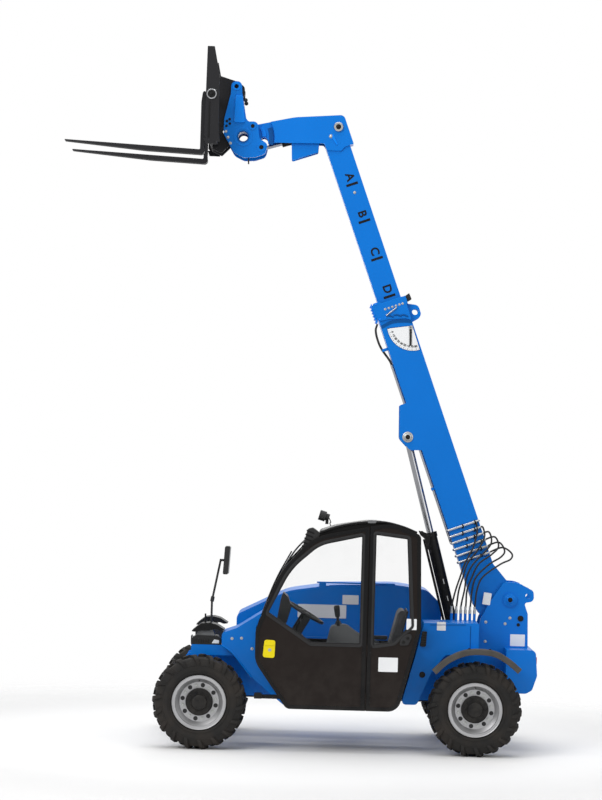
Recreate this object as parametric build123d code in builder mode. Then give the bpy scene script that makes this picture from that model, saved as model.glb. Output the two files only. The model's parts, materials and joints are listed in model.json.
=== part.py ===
"""Compact telehandler with its boom raised: solids of every sub-part, in millimetres.

Frame: +Z up, the machine faces -Y, +X is its left side, where the cab is. The origin lies on
the floor under the middle of the whole machine, forks and raised boom included.
Side views are drawn on the YZ plane; the boom, its cylinders and the fork head are drawn on
planes that lie along them at the stored pose.
"""
from build123d import *
from math import cos, hypot, radians, sin, tan
import os

os.makedirs("parts", exist_ok=True)

# ---- Wheels and axles -----------------------------------------------------------------------
FRONT_AXLE_Y = -760.0
WHEELBASE = 2277.0
REAR_AXLE_Y = FRONT_AXLE_Y + WHEELBASE
TRACK = 1546.0                 # between the tyres' middle planes
TYRE_RADIUS = 387.5            # to the lugs' tips
TYRE_WIDTH = 264.0
LUG_HEIGHT = 24.0
LUGS_PER_SIDE = 18
RIM_RADIUS = 222.0             # flange
RIM_WIDTH = 216.0
RIM_WALL = 8.0
RIM_WELL_DEPTH = 34.0
HUB_RADIUS = 108.0
SPINDLE_RADIUS = 30.0
KINGPIN_INSET = 113.0          # from the tyre's middle plane in to the kingpin
KINGPIN_RADIUS = 38.0
KNUCKLE_HEIGHT = 176.0
YOKE_PLATE = 22.0
STEERING_ARM = 105.0
AXLE_TUBE_RADIUS = 68.0
DIFFERENTIAL_RADIUS = 128.0
AXLE_Z = TYRE_RADIUS
WHEEL_X = TRACK / 2
KINGPIN_X = WHEEL_X - KINGPIN_INSET

# ---- Clearances -----------------------------------------------------------------------------
PIN_GAP = 0.5                  # radial, a pin in its bore
MOVING_GAP = 6.0               # between pieces that move past each other
PANEL_GAP = 5.0                # seams between fixed panels
PAD_GAP = 1.0                  # boom wear pads to the tube that slides on them

# ---- Main frame -----------------------------------------------------------------------------
FRAME_INNER_X = 150.0
FRAME_PLATE = 20.0
FRAME_OUTER_X = FRAME_INNER_X + FRAME_PLATE
FRAME_BOTTOM_Z = 390.0
FRAME_TOP_Z = 880.0
FRAME_FRONT_REACH = 150.0      # ahead of the front axle
AXLE_ARCH_Z = 562.0            # underside of the frame over each axle
TOWER_REAR_REACH = 480.0       # behind the rear axle
COUNTERWEIGHT_HALF_WIDTH = 420.0
COUNTERWEIGHT_LENGTH = 264.0
COUNTERWEIGHT_BOTTOM_Z = 492.0
COUNTERWEIGHT_TOP_Z = 858.0
TOW_PIN_RADIUS = 16.0          # hole down through the counterweight's tail
TOW_PIN_INSET = 78.0           # ahead of the tail
TOW_POCKET_Z = (642.0, 702.0)  # where a drawbar goes in
TOWER_EYE_RADIUS = 22.0        # lifting eye at the tower's rear
TOWER_EYE_AFT = 152.0          # behind the boom pivot
TOWER_EYE_RISE = 34.0

# ---- Boom -----------------------------------------------------------------------------------
PIVOT_AFT = 319.0              # boom pivot behind the rear axle
PIVOT_Z = 1265.0
PIVOT_PIN_RADIUS = 32.0
BOOM_ANGLE = 70.0              # stored elevation
OUTER_LENGTH = 2745.0
OUTER_HEIGHT = 270.0
OUTER_WIDTH = 220.0
OUTER_WALL = 8.0
DOUBLER = 14.0                 # tail doubler plates outside the tube
OUTER_DROP = 36.0              # tube's top face below the pivot, square to the boom
INNER_HEIGHT = 205.0
INNER_WIDTH = 156.0
INNER_WALL = 7.0
INNER_DROP = 60.0
INNER_SHOWN = 1370.0           # from the outer tube's mouth to the gooseneck
INNER_HIDDEN = 1150.0
PAD_LENGTH = 160.0
MOUTH_EYE_RADIUS = 26.0
MOUTH_EYE_BACK = 157.0         # from the mouth
MOUTH_EYE_RISE = 52.0          # above the tube
LIFT_PIN_ALONG = 1589.0
LIFT_PIN_DROP = 385.0
LIFT_PIN_RADIUS = 26.0
LIFT_BASE_AHEAD = 94.0         # cylinder's base pin ahead of the rear axle
LIFT_BASE_Z = 798.0
LIFT_BARREL_LENGTH = 1052.0
LIFT_BARREL_RADIUS = 50.0
LIFT_ROD_RADIUS = 30.0
LIFT_ROD_LENGTH = 1050.0

PIVOT_Y = REAR_AXLE_Y + PIVOT_AFT
OUTER_TOP = -OUTER_DROP
OUTER_UNDER = OUTER_TOP - OUTER_HEIGHT
INNER_TOP = -INNER_DROP
INNER_UNDER = INNER_TOP - INNER_HEIGHT
NECK_SEAM = OUTER_LENGTH + INNER_SHOWN
INNER_TAIL = OUTER_LENGTH - INNER_HIDDEN

# ---- Fork head ------------------------------------------------------------------------------
HEAD_PAST_SEAM = 362.0         # head pivot beyond the neck's seam, along the boom
HEAD_DROP = 909.0              # and square to the boom
NECK_ANGLE = 70.0              # between the boom and the level line of the fork head
NECK_PLATE = 12.0              # the neck's side plates lap the inner tube's sides
NECK_SLIM_HALF = 62.0          # the neck's slim end, inside the coupler
NECK_SLIM_RADIUS = 270.0       # slim within this of the head pivot
HEAD_BORE_RADIUS = 52.0
HEAD_SLEEVE = 12.0
HEAD_BOSS_RADIUS = 96.0
COUPLER_PLATE = 24.0
GUSSET_PLATE = 22.0
COUPLER_EYE_BACK = -69.0       # the coupler's top eye, from the head pivot
COUPLER_EYE_UP = 430.0
CROSSBAR = (-132, 60)          # behind the head pivot, above it
CROSSBAR_RADIUS = 24.0
DUMP_ANGLE = 20.0              # tips down from the stored pose
CARRIAGE_HALF_WIDTH = 470.0
CARRIAGE_PLATE = 24.0
FORK_SPACING = 700.0
FORK_WIDTH = 100.0
FORK_THICKNESS = 42.0
FORK_LENGTH = 1190.0
FORK_PITCH = 2.7               # tips up, degrees
SHAFT_RADIUS = 32.0
TILT_BASE_BACK = 815.0         # tilt cylinder's base pin behind the head pivot
TILT_BASE_RISE = 111.0
TILT_EYE_BACK = 158.0          # its rod's eye at the stored pose
TILT_EYE_DROP = 88.0
TILT_EYE_HALF_WIDTH = 26.0
TILT_BASE_HALF_WIDTH = 34.0
TILT_PIN_RADIUS = 18.0
TILT_BARREL_RADIUS = 33.0
TILT_BARREL_LENGTH = 506.0
TILT_ROD_RADIUS = 17.0
TILT_ROD_LENGTH = 540.0
TILT_SLOT_HALF_WIDTH = 42.0    # the slot in the neck that the cylinder passes through

# ---- Cab ------------------------------------------------------------------------------------
CAB_FRONT_AFT = 456.0          # foremost line of the cab behind the front axle
CAB_REAR_AHEAD = 462.0         # rearmost line of the cab ahead of the rear axle
CAB_OUTER_X = 868.0
CAB_INNER_X = 192.0
CAB_TUBE = 45.0
DOOR_THICKNESS = 28.0
GLASS_THICKNESS = 6.0
GLASS_SETBACK = 8.0            # from the panel's inner face
CAB_FLOOR_Z = 362.0
STEP_Z = 450.0
HINGE_HEIGHTS = (450.0, 850.0)
HINGE_RADIUS = 5.5
B_PILLAR_AHEAD = 445.0         # door's rear edge ahead of the cab's rearmost line
STEERING_WHEEL_RADIUS = 185.0

# ---- Engine side ----------------------------------------------------------------------------
HOOD_OUTER_X = 840.0
HOOD_INNER_X = 200.0
HOOD_SHELL = 14.0
HOOD_EDGE_RADIUS = 50.0
HOOD_PIN_Z = 1350.0             # the hood's hinge bar
HOOD_SEAM_Z = 900.0

CAB_FRONT_Y = FRONT_AXLE_Y + CAB_FRONT_AFT
CAB_REAR_Y = REAR_AXLE_Y - CAB_REAR_AHEAD
DOOR_REAR_Y = CAB_REAR_Y - B_PILLAR_AHEAD

# ---- Hydraulic lines ------------------------------------------------------------------------
HOSE_COUNT = 6
HOSE_RADIUS = 7.5
PIPE_RADIUS = 11.0
PIPE_FIRST_ALONG = 435.0       # the lowest of the pipes across the boom's left side
PIPE_PITCH = 57.5
FITTING_X = 235.0
FITTINGS_AHEAD = -179.0        # the first fitting, from the rear axle
FITTING_PITCH = 38.8
FITTING_TOP_Z = 1153.0
HOSE_LOOPS = [                 # how far each hose reaches past its pipe, and drops behind it
    (38, 80),
    (78, 80),
    (122, 80),
    (166, 90),
    (196, 100),
    (236, 110),
]

# ---- Planes ---------------------------------------------------------------------------------
SIDE = Plane.YZ                # local x runs rearward, local y up


def leaning_plane(y, z, along_y, along_z):
    """A side-view plane at (y, z) whose local x runs along the given direction.

    Its local y points to the upper and rear side when local x runs forward and up.
    """
    return Plane(origin=(0, y, z), x_dir=(0, along_y, along_z), z_dir=(-1, 0, 0))


BOOM = leaning_plane(
    PIVOT_Y, PIVOT_Z, -cos(radians(BOOM_ANGLE)), sin(radians(BOOM_ANGLE))
)


def place(plane, along, across):
    """World (y, z) of a point given in a plane's own two directions."""
    at = plane.origin + plane.x_dir * along + plane.y_dir * across
    return at.Y, at.Z


HEAD_ALONG = NECK_SEAM + HEAD_PAST_SEAM
HEAD_Y, HEAD_Z = place(BOOM, HEAD_ALONG, -HEAD_DROP)
HEAD = Plane(                  # level at the stored pose; local x back to the neck, y up
    origin=(0, HEAD_Y, HEAD_Z),
    x_dir=BOOM.y_dir * sin(radians(NECK_ANGLE)) - BOOM.x_dir * cos(radians(NECK_ANGLE)),
    z_dir=(1, 0, 0),
)


def in_head(along, across):
    """A point of the boom's plane, given in the head plane's directions."""
    y, z = place(BOOM, along, across)
    return y - HEAD_Y, z - HEAD_Z


LIFT_PIN_Y, LIFT_PIN_Z = place(BOOM, LIFT_PIN_ALONG, -LIFT_PIN_DROP)
LIFT_BASE_Y = REAR_AXLE_Y - LIFT_BASE_AHEAD
LIFT_LENGTH = hypot(LIFT_PIN_Y - LIFT_BASE_Y, LIFT_PIN_Z - LIFT_BASE_Z)
LIFT = leaning_plane(
    LIFT_BASE_Y,
    LIFT_BASE_Z,
    (LIFT_PIN_Y - LIFT_BASE_Y) / LIFT_LENGTH,
    (LIFT_PIN_Z - LIFT_BASE_Z) / LIFT_LENGTH,
)


# ---- Shapes used again and again ------------------------------------------------------------
def corner_radii(rows):
    """Each row's corner radius, limited to what the edges beside that corner have room for."""
    corners = [Vector(a, b) for a, b, _ in rows]
    edges = [corners[k] - corners[k - 1] for k in range(len(rows))]
    tangents = []
    for k, (_, _, radius) in enumerate(rows):
        turn = edges[k].get_angle(edges[(k + 1) % len(rows)])
        tangents.append(radius * tan(radians(turn) / 2))
    shares = []
    for k, edge in enumerate(edges):
        wanted = tangents[k - 1] + tangents[k]
        shares.append(min(1.0, 0.99 * edge.length / wanted) if wanted else 1.0)
    return [
        radius * min(shares[k], shares[(k + 1) % len(rows)])
        for k, (_, _, radius) in enumerate(rows)
    ]


def outline(rows, x_at=0.0, plane=SIDE, grow=0.0):
    """A closed outline at X = x_at, from rows of (local x, local y, corner radius).

    A negative grow brings the whole outline in evenly.
    """
    with BuildSketch(plane.offset(plane.z_dir.X * x_at)) as sketch:
        with BuildLine():
            FilletPolyline(*[(a, b) for a, b, _ in rows], radius=corner_radii(rows), close=True)
        make_face()
        if grow:
            offset(amount=grow, kind=Kind.INTERSECTION)
    return sketch.sketch


def plate(rows, x_from, x_to, plane=SIDE, mode=Mode.ADD):
    """An outline carried from one X to another."""
    face = outline(rows, x_from, plane)
    extrude(face, amount=plane.z_dir.X * (x_to - x_from), mode=mode)


def plates(rows, x_in, x_out, plane=SIDE, mode=Mode.ADD):
    """The same plate on both sides of the middle."""
    plate(rows, x_in, x_out, plane, mode)
    plate(rows, -x_out, -x_in, plane, mode)


def disc(along, across, radius, x_from, x_to, plane=SIDE, mode=Mode.ADD):
    """A round bar or bore along X."""
    with BuildSketch(plane.offset(plane.z_dir.X * x_from)) as sketch:
        with Locations((along, across)):
            Circle(radius)
    extrude(sketch.sketch, amount=plane.z_dir.X * (x_to - x_from), mode=mode)


def block(x, y, z, mode=Mode.ADD):
    """A block between two corners, given as (low, high) pairs."""
    with Locations(((x[0] + x[1]) / 2, (y[0] + y[1]) / 2, (z[0] + z[1]) / 2)):
        Box(x[1] - x[0], y[1] - y[0], z[1] - z[0], mode=mode)


def rod_along(plane, start, end, radius, across=0.0, x_at=0.0, mode=Mode.ADD):
    """A round rod along a plane's local x, between two stations."""
    y, z = place(plane, start, across)
    facing = Plane(origin=(x_at, y, z), z_dir=plane.x_dir)
    with BuildSketch(facing) as sketch:
        Circle(radius)
    extrude(sketch.sketch, amount=end - start, mode=mode)


def box_rows(x_low, x_high, y_low, y_high, radius=0.0):
    """Rows of a rectangle."""
    return [
        (x_low, y_low, radius),
        (x_high, y_low, radius),
        (x_high, y_high, radius),
        (x_low, y_high, radius),
    ]


def save(part, name):
    part.label = name
    export_step(part, f"parts/{name}.step")


# ---- Wheels ---------------------------------------------------------------------------------
TREAD_RADIUS = TYRE_RADIUS - LUG_HEIGHT
BEAD_RADIUS = RIM_RADIUS - 17
WHEELS = [                     # name, side, axle's Y, end of the machine (+1 rear)
    ("front_left", 1, FRONT_AXLE_Y, -1),
    ("front_right", -1, FRONT_AXLE_Y, -1),
    ("rear_left", 1, REAR_AXLE_Y, 1),
    ("rear_right", -1, REAR_AXLE_Y, 1),
]


def ring(rows):
    """Revolves an outline of (x, radius, corner radius) rows about the X axis."""
    with BuildSketch(Plane.XZ) as sketch:
        with BuildLine():
            FilletPolyline(
                *[(x, r) for x, r, _ in rows], radius=[c for _, _, c in rows], close=True
            )
        make_face()
    revolve(sketch.sketch, axis=Axis.X)


HALF_TYRE = TYRE_WIDTH / 2
TREAD_SIDES = 2 * LUGS_PER_SIDE
TYRE_PROFILE = [               # x, radius: bead, widest, shoulder and the same on the other side
    (-HALF_TYRE + 26, RIM_RADIUS + 4),
    (-HALF_TYRE + 8, TREAD_RADIUS - 62),
    (-HALF_TYRE + 26, TREAD_RADIUS),
    (HALF_TYRE - 26, TREAD_RADIUS),
    (HALF_TYRE - 8, TREAD_RADIUS - 62),
    (HALF_TYRE - 26, RIM_RADIUS + 4),
]
LUG_ROOT = 30.0                # how far a lug reaches into the crown
with BuildPart() as lug:
    # One bar of the tread's left half, slanted, from the crown's middle to the shoulder.
    with BuildSketch(Plane.XY.offset(TREAD_RADIUS - LUG_ROOT)) as bar:
        with BuildLine():
            Polyline((8, -24), (HALF_TYRE, -46), (HALF_TYRE, 6), (8, 22), close=True)
        make_face()
    extrude(bar.sketch, amount=LUG_ROOT + LUG_HEIGHT)

with BuildPart() as tyre:
    for x, radius in TYRE_PROFILE:
        with BuildSketch(Plane.YZ.offset(x)):
            RegularPolygon(radius, TREAD_SIDES)
    loft(ruled=True)
    with BuildSketch(Plane.YZ.offset(-HALF_TYRE)):
        RegularPolygon(BEAD_RADIUS, TREAD_SIDES, major_radius=False)
    extrude(amount=TYRE_WIDTH, mode=Mode.SUBTRACT)
    pitch = 360 / LUGS_PER_SIDE
    mirrored_lug = lug.part.mirror(Plane.YZ)
    add([lug.part.rotate(Axis.X, pitch * k) for k in range(LUGS_PER_SIDE)])
    add([mirrored_lug.rotate(Axis.X, pitch * (k + 0.5)) for k in range(LUGS_PER_SIDE)])

DISC_X = 34.0                  # wheel disc outboard of the tyre's middle plane
DISC_PLATE = 12.0
HUB_INNER_X = -38.0
HUB_OUTER_X = 74.0
HUB_BORE_DEPTH = 96.0
WELL_RADIUS = BEAD_RADIUS - RIM_WELL_DEPTH
with BuildPart() as rim:
    edge = RIM_WIDTH / 2
    ring(
        [
            (-edge, RIM_RADIUS, 0),
            (-edge, BEAD_RADIUS, 0),
            (-edge + 60, BEAD_RADIUS, 0),
            (-edge + 76, WELL_RADIUS, 0),
            (DISC_X, WELL_RADIUS, 0),
            (edge - 34, BEAD_RADIUS, 0),
            (edge, BEAD_RADIUS, 0),
            (edge, RIM_RADIUS, 0),
            (edge + RIM_WALL, RIM_RADIUS, 0),
            (edge + RIM_WALL / 2, BEAD_RADIUS - RIM_WALL, 0),
            (edge - 32, BEAD_RADIUS - RIM_WALL, 0),
            (DISC_X + DISC_PLATE, WELL_RADIUS - RIM_WALL, 0),
            (DISC_X + DISC_PLATE, HUB_RADIUS, 0),
            (HUB_OUTER_X, HUB_RADIUS - 8, 0),
            (HUB_OUTER_X, 0, 0),
            (HUB_INNER_X + HUB_BORE_DEPTH, 0, 0),
            (HUB_INNER_X + HUB_BORE_DEPTH, SPINDLE_RADIUS + PIN_GAP, 0),
            (HUB_INNER_X, SPINDLE_RADIUS + PIN_GAP, 0),
            (HUB_INNER_X, 72, 0),
            (DISC_X, 84, 0),
            (DISC_X, WELL_RADIUS - RIM_WALL, 0),
            (-edge + 72, WELL_RADIUS - RIM_WALL, 0),
            (-edge + 56, BEAD_RADIUS - RIM_WALL, 0),
            (-edge - RIM_WALL, BEAD_RADIUS - RIM_WALL, 0),
            (-edge - RIM_WALL, RIM_RADIUS, 0),
        ]
    )

# The knuckle at the left end of an axle: kingpin housing, spindle and steering arm.
SPINDLE_END = KINGPIN_INSET + HUB_INNER_X + HUB_BORE_DEPTH - MOVING_GAP
FLANGE_END = KINGPIN_INSET + HUB_INNER_X - MOVING_GAP
with BuildPart() as knuckle:
    Cylinder(KINGPIN_RADIUS, KNUCKLE_HEIGHT)
    with BuildSketch(Plane.YZ) as spindle_section:
        Circle(SPINDLE_RADIUS)
    extrude(spindle_section.sketch, amount=SPINDLE_END)
    with BuildSketch(Plane.YZ) as flange_section:
        Circle(54)
    extrude(flange_section.sketch, amount=FLANGE_END, taper=-4)
    with BuildSketch(Plane.XY.offset(-50)) as arm_section:
        with BuildLine():
            FilletPolyline(
                (-30, 0),
                (-34, STEERING_ARM + 22),
                (6, STEERING_ARM + 22),
                (30, 0),
                radius=[0, 14, 14, 0],
                close=True,
            )
        make_face()
        with Locations((-14, STEERING_ARM)):
            Circle(9, mode=Mode.SUBTRACT)
    extrude(arm_section.sketch, amount=24)

for name, side, axle_y, end in WHEELS:
    turn = 0 if side > 0 else 180
    wheel_at = Location((side * WHEEL_X, axle_y, AXLE_Z))
    save(tyre.part.rotate(Axis.Z, turn).moved(wheel_at), f"tyre_{name}")
    save(rim.part.rotate(Axis.Z, turn).moved(wheel_at), f"rim_{name}")
    upright = knuckle.part
    if end > 0:
        upright = upright.mirror(Plane.XZ)
    if side < 0:
        upright = upright.mirror(Plane.YZ)
    save(upright.moved(Location((side * KINGPIN_X, axle_y, AXLE_Z))), f"knuckle_{name}")

# ---- Axles ----------------------------------------------------------------------------------
YOKE_INNER = KNUCKLE_HEIGHT / 2 + MOVING_GAP
YOKE_BACK_X = KINGPIN_X - KINGPIN_RADIUS - 34
for name, axle_y in (("front_axle", FRONT_AXLE_Y), ("rear_axle", REAR_AXLE_Y)):
    with BuildPart() as axle:
        disc(axle_y, AXLE_Z, AXLE_TUBE_RADIUS, -YOKE_BACK_X + 20, YOKE_BACK_X - 20)
        with BuildSketch(Plane.XZ.offset(-axle_y)) as bulge:
            with BuildLine():
                FilletPolyline(
                    (-190, AXLE_Z),
                    (-150, AXLE_Z + AXLE_TUBE_RADIUS + 18),
                    (-62, AXLE_Z + DIFFERENTIAL_RADIUS),
                    (62, AXLE_Z + DIFFERENTIAL_RADIUS),
                    (150, AXLE_Z + AXLE_TUBE_RADIUS + 18),
                    (190, AXLE_Z),
                    radius=0,
                    close=True,
                )
            make_face()
        revolve(bulge.sketch, axis=Axis((0, axle_y, AXLE_Z), (1, 0, 0)))
        for side in (1, -1):
            with BuildSketch(Plane.XZ.offset(-axle_y)) as yoke:
                with BuildLine():
                    FilletPolyline(
                        (side * (YOKE_BACK_X - 26), AXLE_Z - YOKE_INNER - YOKE_PLATE),
                        (side * (KINGPIN_X + 34), AXLE_Z - YOKE_INNER - YOKE_PLATE),
                        (side * (KINGPIN_X + 34), AXLE_Z - YOKE_INNER),
                        (side * YOKE_BACK_X, AXLE_Z - YOKE_INNER),
                        (side * YOKE_BACK_X, AXLE_Z + YOKE_INNER),
                        (side * (KINGPIN_X + 34), AXLE_Z + YOKE_INNER),
                        (side * (KINGPIN_X + 34), AXLE_Z + YOKE_INNER + YOKE_PLATE),
                        (side * (YOKE_BACK_X - 26), AXLE_Z + YOKE_INNER + YOKE_PLATE),
                        radius=0,
                        close=True,
                    )
                make_face()
            extrude(yoke.sketch, amount=45, both=True)
            block(
                sorted((side * (FRAME_INNER_X - 22), side * (FRAME_OUTER_X + 30))),
                (axle_y - 70, axle_y + 70),
                (AXLE_Z + 20, AXLE_ARCH_Z),
            )
    save(axle.part, name)

SHAFT_START = FRONT_AXLE_Y + DIFFERENTIAL_RADIUS
SHAFT_END = REAR_AXLE_Y - DIFFERENTIAL_RADIUS
with BuildPart() as drive_shaft:
    with BuildSketch(Plane.XZ.offset(-SHAFT_START)) as tube_section:
        with Locations((0, AXLE_Z)):
            Circle(26)
    extrude(tube_section.sketch, amount=-(SHAFT_END - SHAFT_START))
    for at in (SHAFT_START, SHAFT_END - 60):
        with BuildSketch(Plane.XZ.offset(-at)) as yoke_section:
            with Locations((0, AXLE_Z)):
                Circle(44)
        extrude(yoke_section.sketch, amount=-60)
save(drive_shaft.part, "drive_shaft")

# ---- Main frame -----------------------------------------------------------------------------
front, rear = FRONT_AXLE_Y, REAR_AXLE_Y
TOWER_REAR_Y = rear + TOWER_REAR_REACH
COUNTERWEIGHT_FRONT_Y = TOWER_REAR_Y - 200
frame_rows = [
    (front - FRAME_FRONT_REACH, AXLE_ARCH_Z, 20),
    (front + 150, AXLE_ARCH_Z, 60),
    (front + 330, FRAME_BOTTOM_Z, 60),
    (rear - 330, FRAME_BOTTOM_Z, 60),
    (rear - 150, AXLE_ARCH_Z, 60),
    (COUNTERWEIGHT_FRONT_Y, AXLE_ARCH_Z, 0),
    (COUNTERWEIGHT_FRONT_Y, COUNTERWEIGHT_TOP_Z, 0),
    (TOWER_REAR_Y, COUNTERWEIGHT_TOP_Z, 0),
    (TOWER_REAR_Y - 6, PIVOT_Z - 118, 30),
    (PIVOT_Y + 122, PIVOT_Z - 24, 20),
    (PIVOT_Y + 205, PIVOT_Z - 10, 40),
    (PIVOT_Y + 200, PIVOT_Z + 80, 40),
    (PIVOT_Y + 84, PIVOT_Z + 132, 40),
    (PIVOT_Y - 56, PIVOT_Z + 145, 30),
    (PIVOT_Y - 180, PIVOT_Z - 40, 40),
    (PIVOT_Y - 245, PIVOT_Z - 165, 40),
    (PIVOT_Y - 262, FRAME_TOP_Z + 150, 20),
    (rear - 330, FRAME_TOP_Z + 150, 60),
    (rear - 470, FRAME_TOP_Z, 60),
    (front + 500, FRAME_TOP_Z, 60),
    (front + 60, FRAME_TOP_Z - 90, 60),
    (front - FRAME_FRONT_REACH, FRAME_TOP_Z - 150, 30),
]
with BuildPart() as frame_plates:
    plates(frame_rows, FRAME_INNER_X, FRAME_OUTER_X)
    # Pin bosses, bores and the lifting eye at the tower's rear corner.
    for x_in, x_out in ((FRAME_OUTER_X, FRAME_OUTER_X + 18), (-FRAME_OUTER_X - 18, -FRAME_OUTER_X)):
        disc(PIVOT_Y, PIVOT_Z, PIVOT_PIN_RADIUS + 26, x_in, x_out)
    wide = FRAME_OUTER_X + 40
    for y, z, radius in (
        (PIVOT_Y, PIVOT_Z, PIVOT_PIN_RADIUS),
        (LIFT_BASE_Y, LIFT_BASE_Z, LIFT_PIN_RADIUS),
        (PIVOT_Y + TOWER_EYE_AFT, PIVOT_Z + TOWER_EYE_RISE, TOWER_EYE_RADIUS),
    ):
        disc(y, z, radius, -wide, wide, mode=Mode.SUBTRACT)
save(frame_plates.part, "frame_plates")

with BuildPart() as cross_members:
    # Between the plates, all below the lowered boom and its cylinder.
    middle = (front + rear) / 2
    member_rows = [            # front Y, rear Y, bottom Z, top Z
        (front - 110, front + 110, AXLE_ARCH_Z, AXLE_ARCH_Z + 70),
        (front + 380, front + 460, FRAME_BOTTOM_Z + 50, FRAME_BOTTOM_Z + 150),
        (middle - 50, middle + 50, FRAME_BOTTOM_Z + 50, FRAME_BOTTOM_Z + 150),
        (rear - 420, rear - 340, FRAME_BOTTOM_Z + 50, FRAME_BOTTOM_Z + 150),
        (rear - 90, rear + 110, AXLE_ARCH_Z, AXLE_ARCH_Z + 90),
        (COUNTERWEIGHT_FRONT_Y - 30, COUNTERWEIGHT_FRONT_Y, AXLE_ARCH_Z, COUNTERWEIGHT_TOP_Z),
    ]
    for y_low, y_high, z_low, z_high in member_rows:
        block((-FRAME_INNER_X, FRAME_INNER_X), (y_low, y_high), (z_low, z_high))
save(cross_members.part, "cross_members")

with BuildPart() as frame_pins:
    disc(PIVOT_Y, PIVOT_Z, PIVOT_PIN_RADIUS, -FRAME_OUTER_X - 24, FRAME_OUTER_X + 24)
    disc(LIFT_BASE_Y, LIFT_BASE_Z, LIFT_PIN_RADIUS, -FRAME_OUTER_X, FRAME_OUTER_X)
save(frame_pins.part, "frame_pins")

with BuildPart() as counterweight:
    low, high = COUNTERWEIGHT_BOTTOM_Z, COUNTERWEIGHT_TOP_Z
    tail = COUNTERWEIGHT_FRONT_Y + COUNTERWEIGHT_LENGTH
    plate(
        [
            (COUNTERWEIGHT_FRONT_Y, low, 0),
            (tail - 90, low, 50),
            (tail - 40, low + 30, 30),
            (tail, low + 150, 50),
            (tail - 16, high, 40),
            (COUNTERWEIGHT_FRONT_Y, high, 0),
        ],
        -COUNTERWEIGHT_HALF_WIDTH,
        COUNTERWEIGHT_HALF_WIDTH,
    )
    # Tow pocket: a slot for a drawbar, and the pin hole down through it.
    pocket_low, pocket_high = TOW_POCKET_Z
    pin_y = tail - TOW_PIN_INSET
    block((-60, 60), (pin_y - 50, tail + 10), (pocket_low, pocket_high), mode=Mode.SUBTRACT)
    with Locations((0, pin_y, pocket_low - 40)):
        Cylinder(
            TOW_PIN_RADIUS,
            high - pocket_low + 50,
            align=(Align.CENTER, Align.CENTER, Align.MIN),
            mode=Mode.SUBTRACT,
        )
save(counterweight.part, "counterweight")

# ---- Boom -----------------------------------------------------------------------------------
HALF_OUTER = OUTER_WIDTH / 2
HALF_INNER = INNER_WIDTH / 2
HALF_BORE = HALF_OUTER - OUTER_WALL
MOUTH = OUTER_LENGTH
TUBE_START = 60.0
BRACKET_PLATE = 20.0
COLLAR_LENGTH = 70.0
COLLAR_PLATE = 14.0
with BuildPart() as boom_sides:
    # Each side: the tube's wall, a doubler round the pivot and the lift cylinder's bracket.
    wall = box_rows(TUBE_START, MOUTH, OUTER_UNDER, OUTER_TOP)
    plates(wall, HALF_BORE, HALF_OUTER, BOOM)
    tail_rows = [
        (-70, 30, 50),
        (-60, OUTER_UNDER + 30, 40),
        (60, OUTER_UNDER, 30),
        (420, OUTER_UNDER, 30),
        (420, OUTER_TOP - 20, 80),
        (330, OUTER_TOP, 60),
        (60, 66, 60),
    ]
    plates(tail_rows, HALF_BORE, HALF_OUTER + DOUBLER, BOOM)
    along, drop = LIFT_PIN_ALONG, -LIFT_PIN_DROP
    bracket_rows = [
        (along + 280, OUTER_UNDER, 0),
        (along + 280, drop + 22, 15),
        (along + 10, drop - 72, 55),
        (along - 112, drop - 18, 40),
        (along - 145, OUTER_UNDER, 0),
    ]
    plates(bracket_rows, HALF_OUTER - BRACKET_PLATE, HALF_OUTER, BOOM)
    for side in (1, -1):
        ends = sorted((side * (HALF_OUTER - BRACKET_PLATE - 14), side * (HALF_OUTER - BRACKET_PLATE)))
        disc(along, drop, LIFT_PIN_RADIUS + 16, *ends, BOOM)
    wide = HALF_OUTER + DOUBLER + 10
    disc(0, 0, PIVOT_PIN_RADIUS + PIN_GAP, -wide, wide, BOOM, Mode.SUBTRACT)
    disc(along, drop, LIFT_PIN_RADIUS, -wide, wide, BOOM, Mode.SUBTRACT)
save(boom_sides.part, "boom_sides")

with BuildPart() as boom_cross_plates:
    # Top and bottom plates of the tube, and the sleeve on the pivot pin.
    for low in (OUTER_UNDER, OUTER_TOP - OUTER_WALL):
        plate(box_rows(TUBE_START, MOUTH, low, low + OUTER_WALL), -HALF_BORE, HALF_BORE, BOOM)
    disc(0, 0, PIVOT_PIN_RADIUS + 18, -HALF_BORE, HALF_BORE, BOOM)
    disc(0, 0, PIVOT_PIN_RADIUS + PIN_GAP, -HALF_BORE, HALF_BORE, BOOM, Mode.SUBTRACT)
save(boom_cross_plates.part, "boom_cross_plates")

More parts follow.
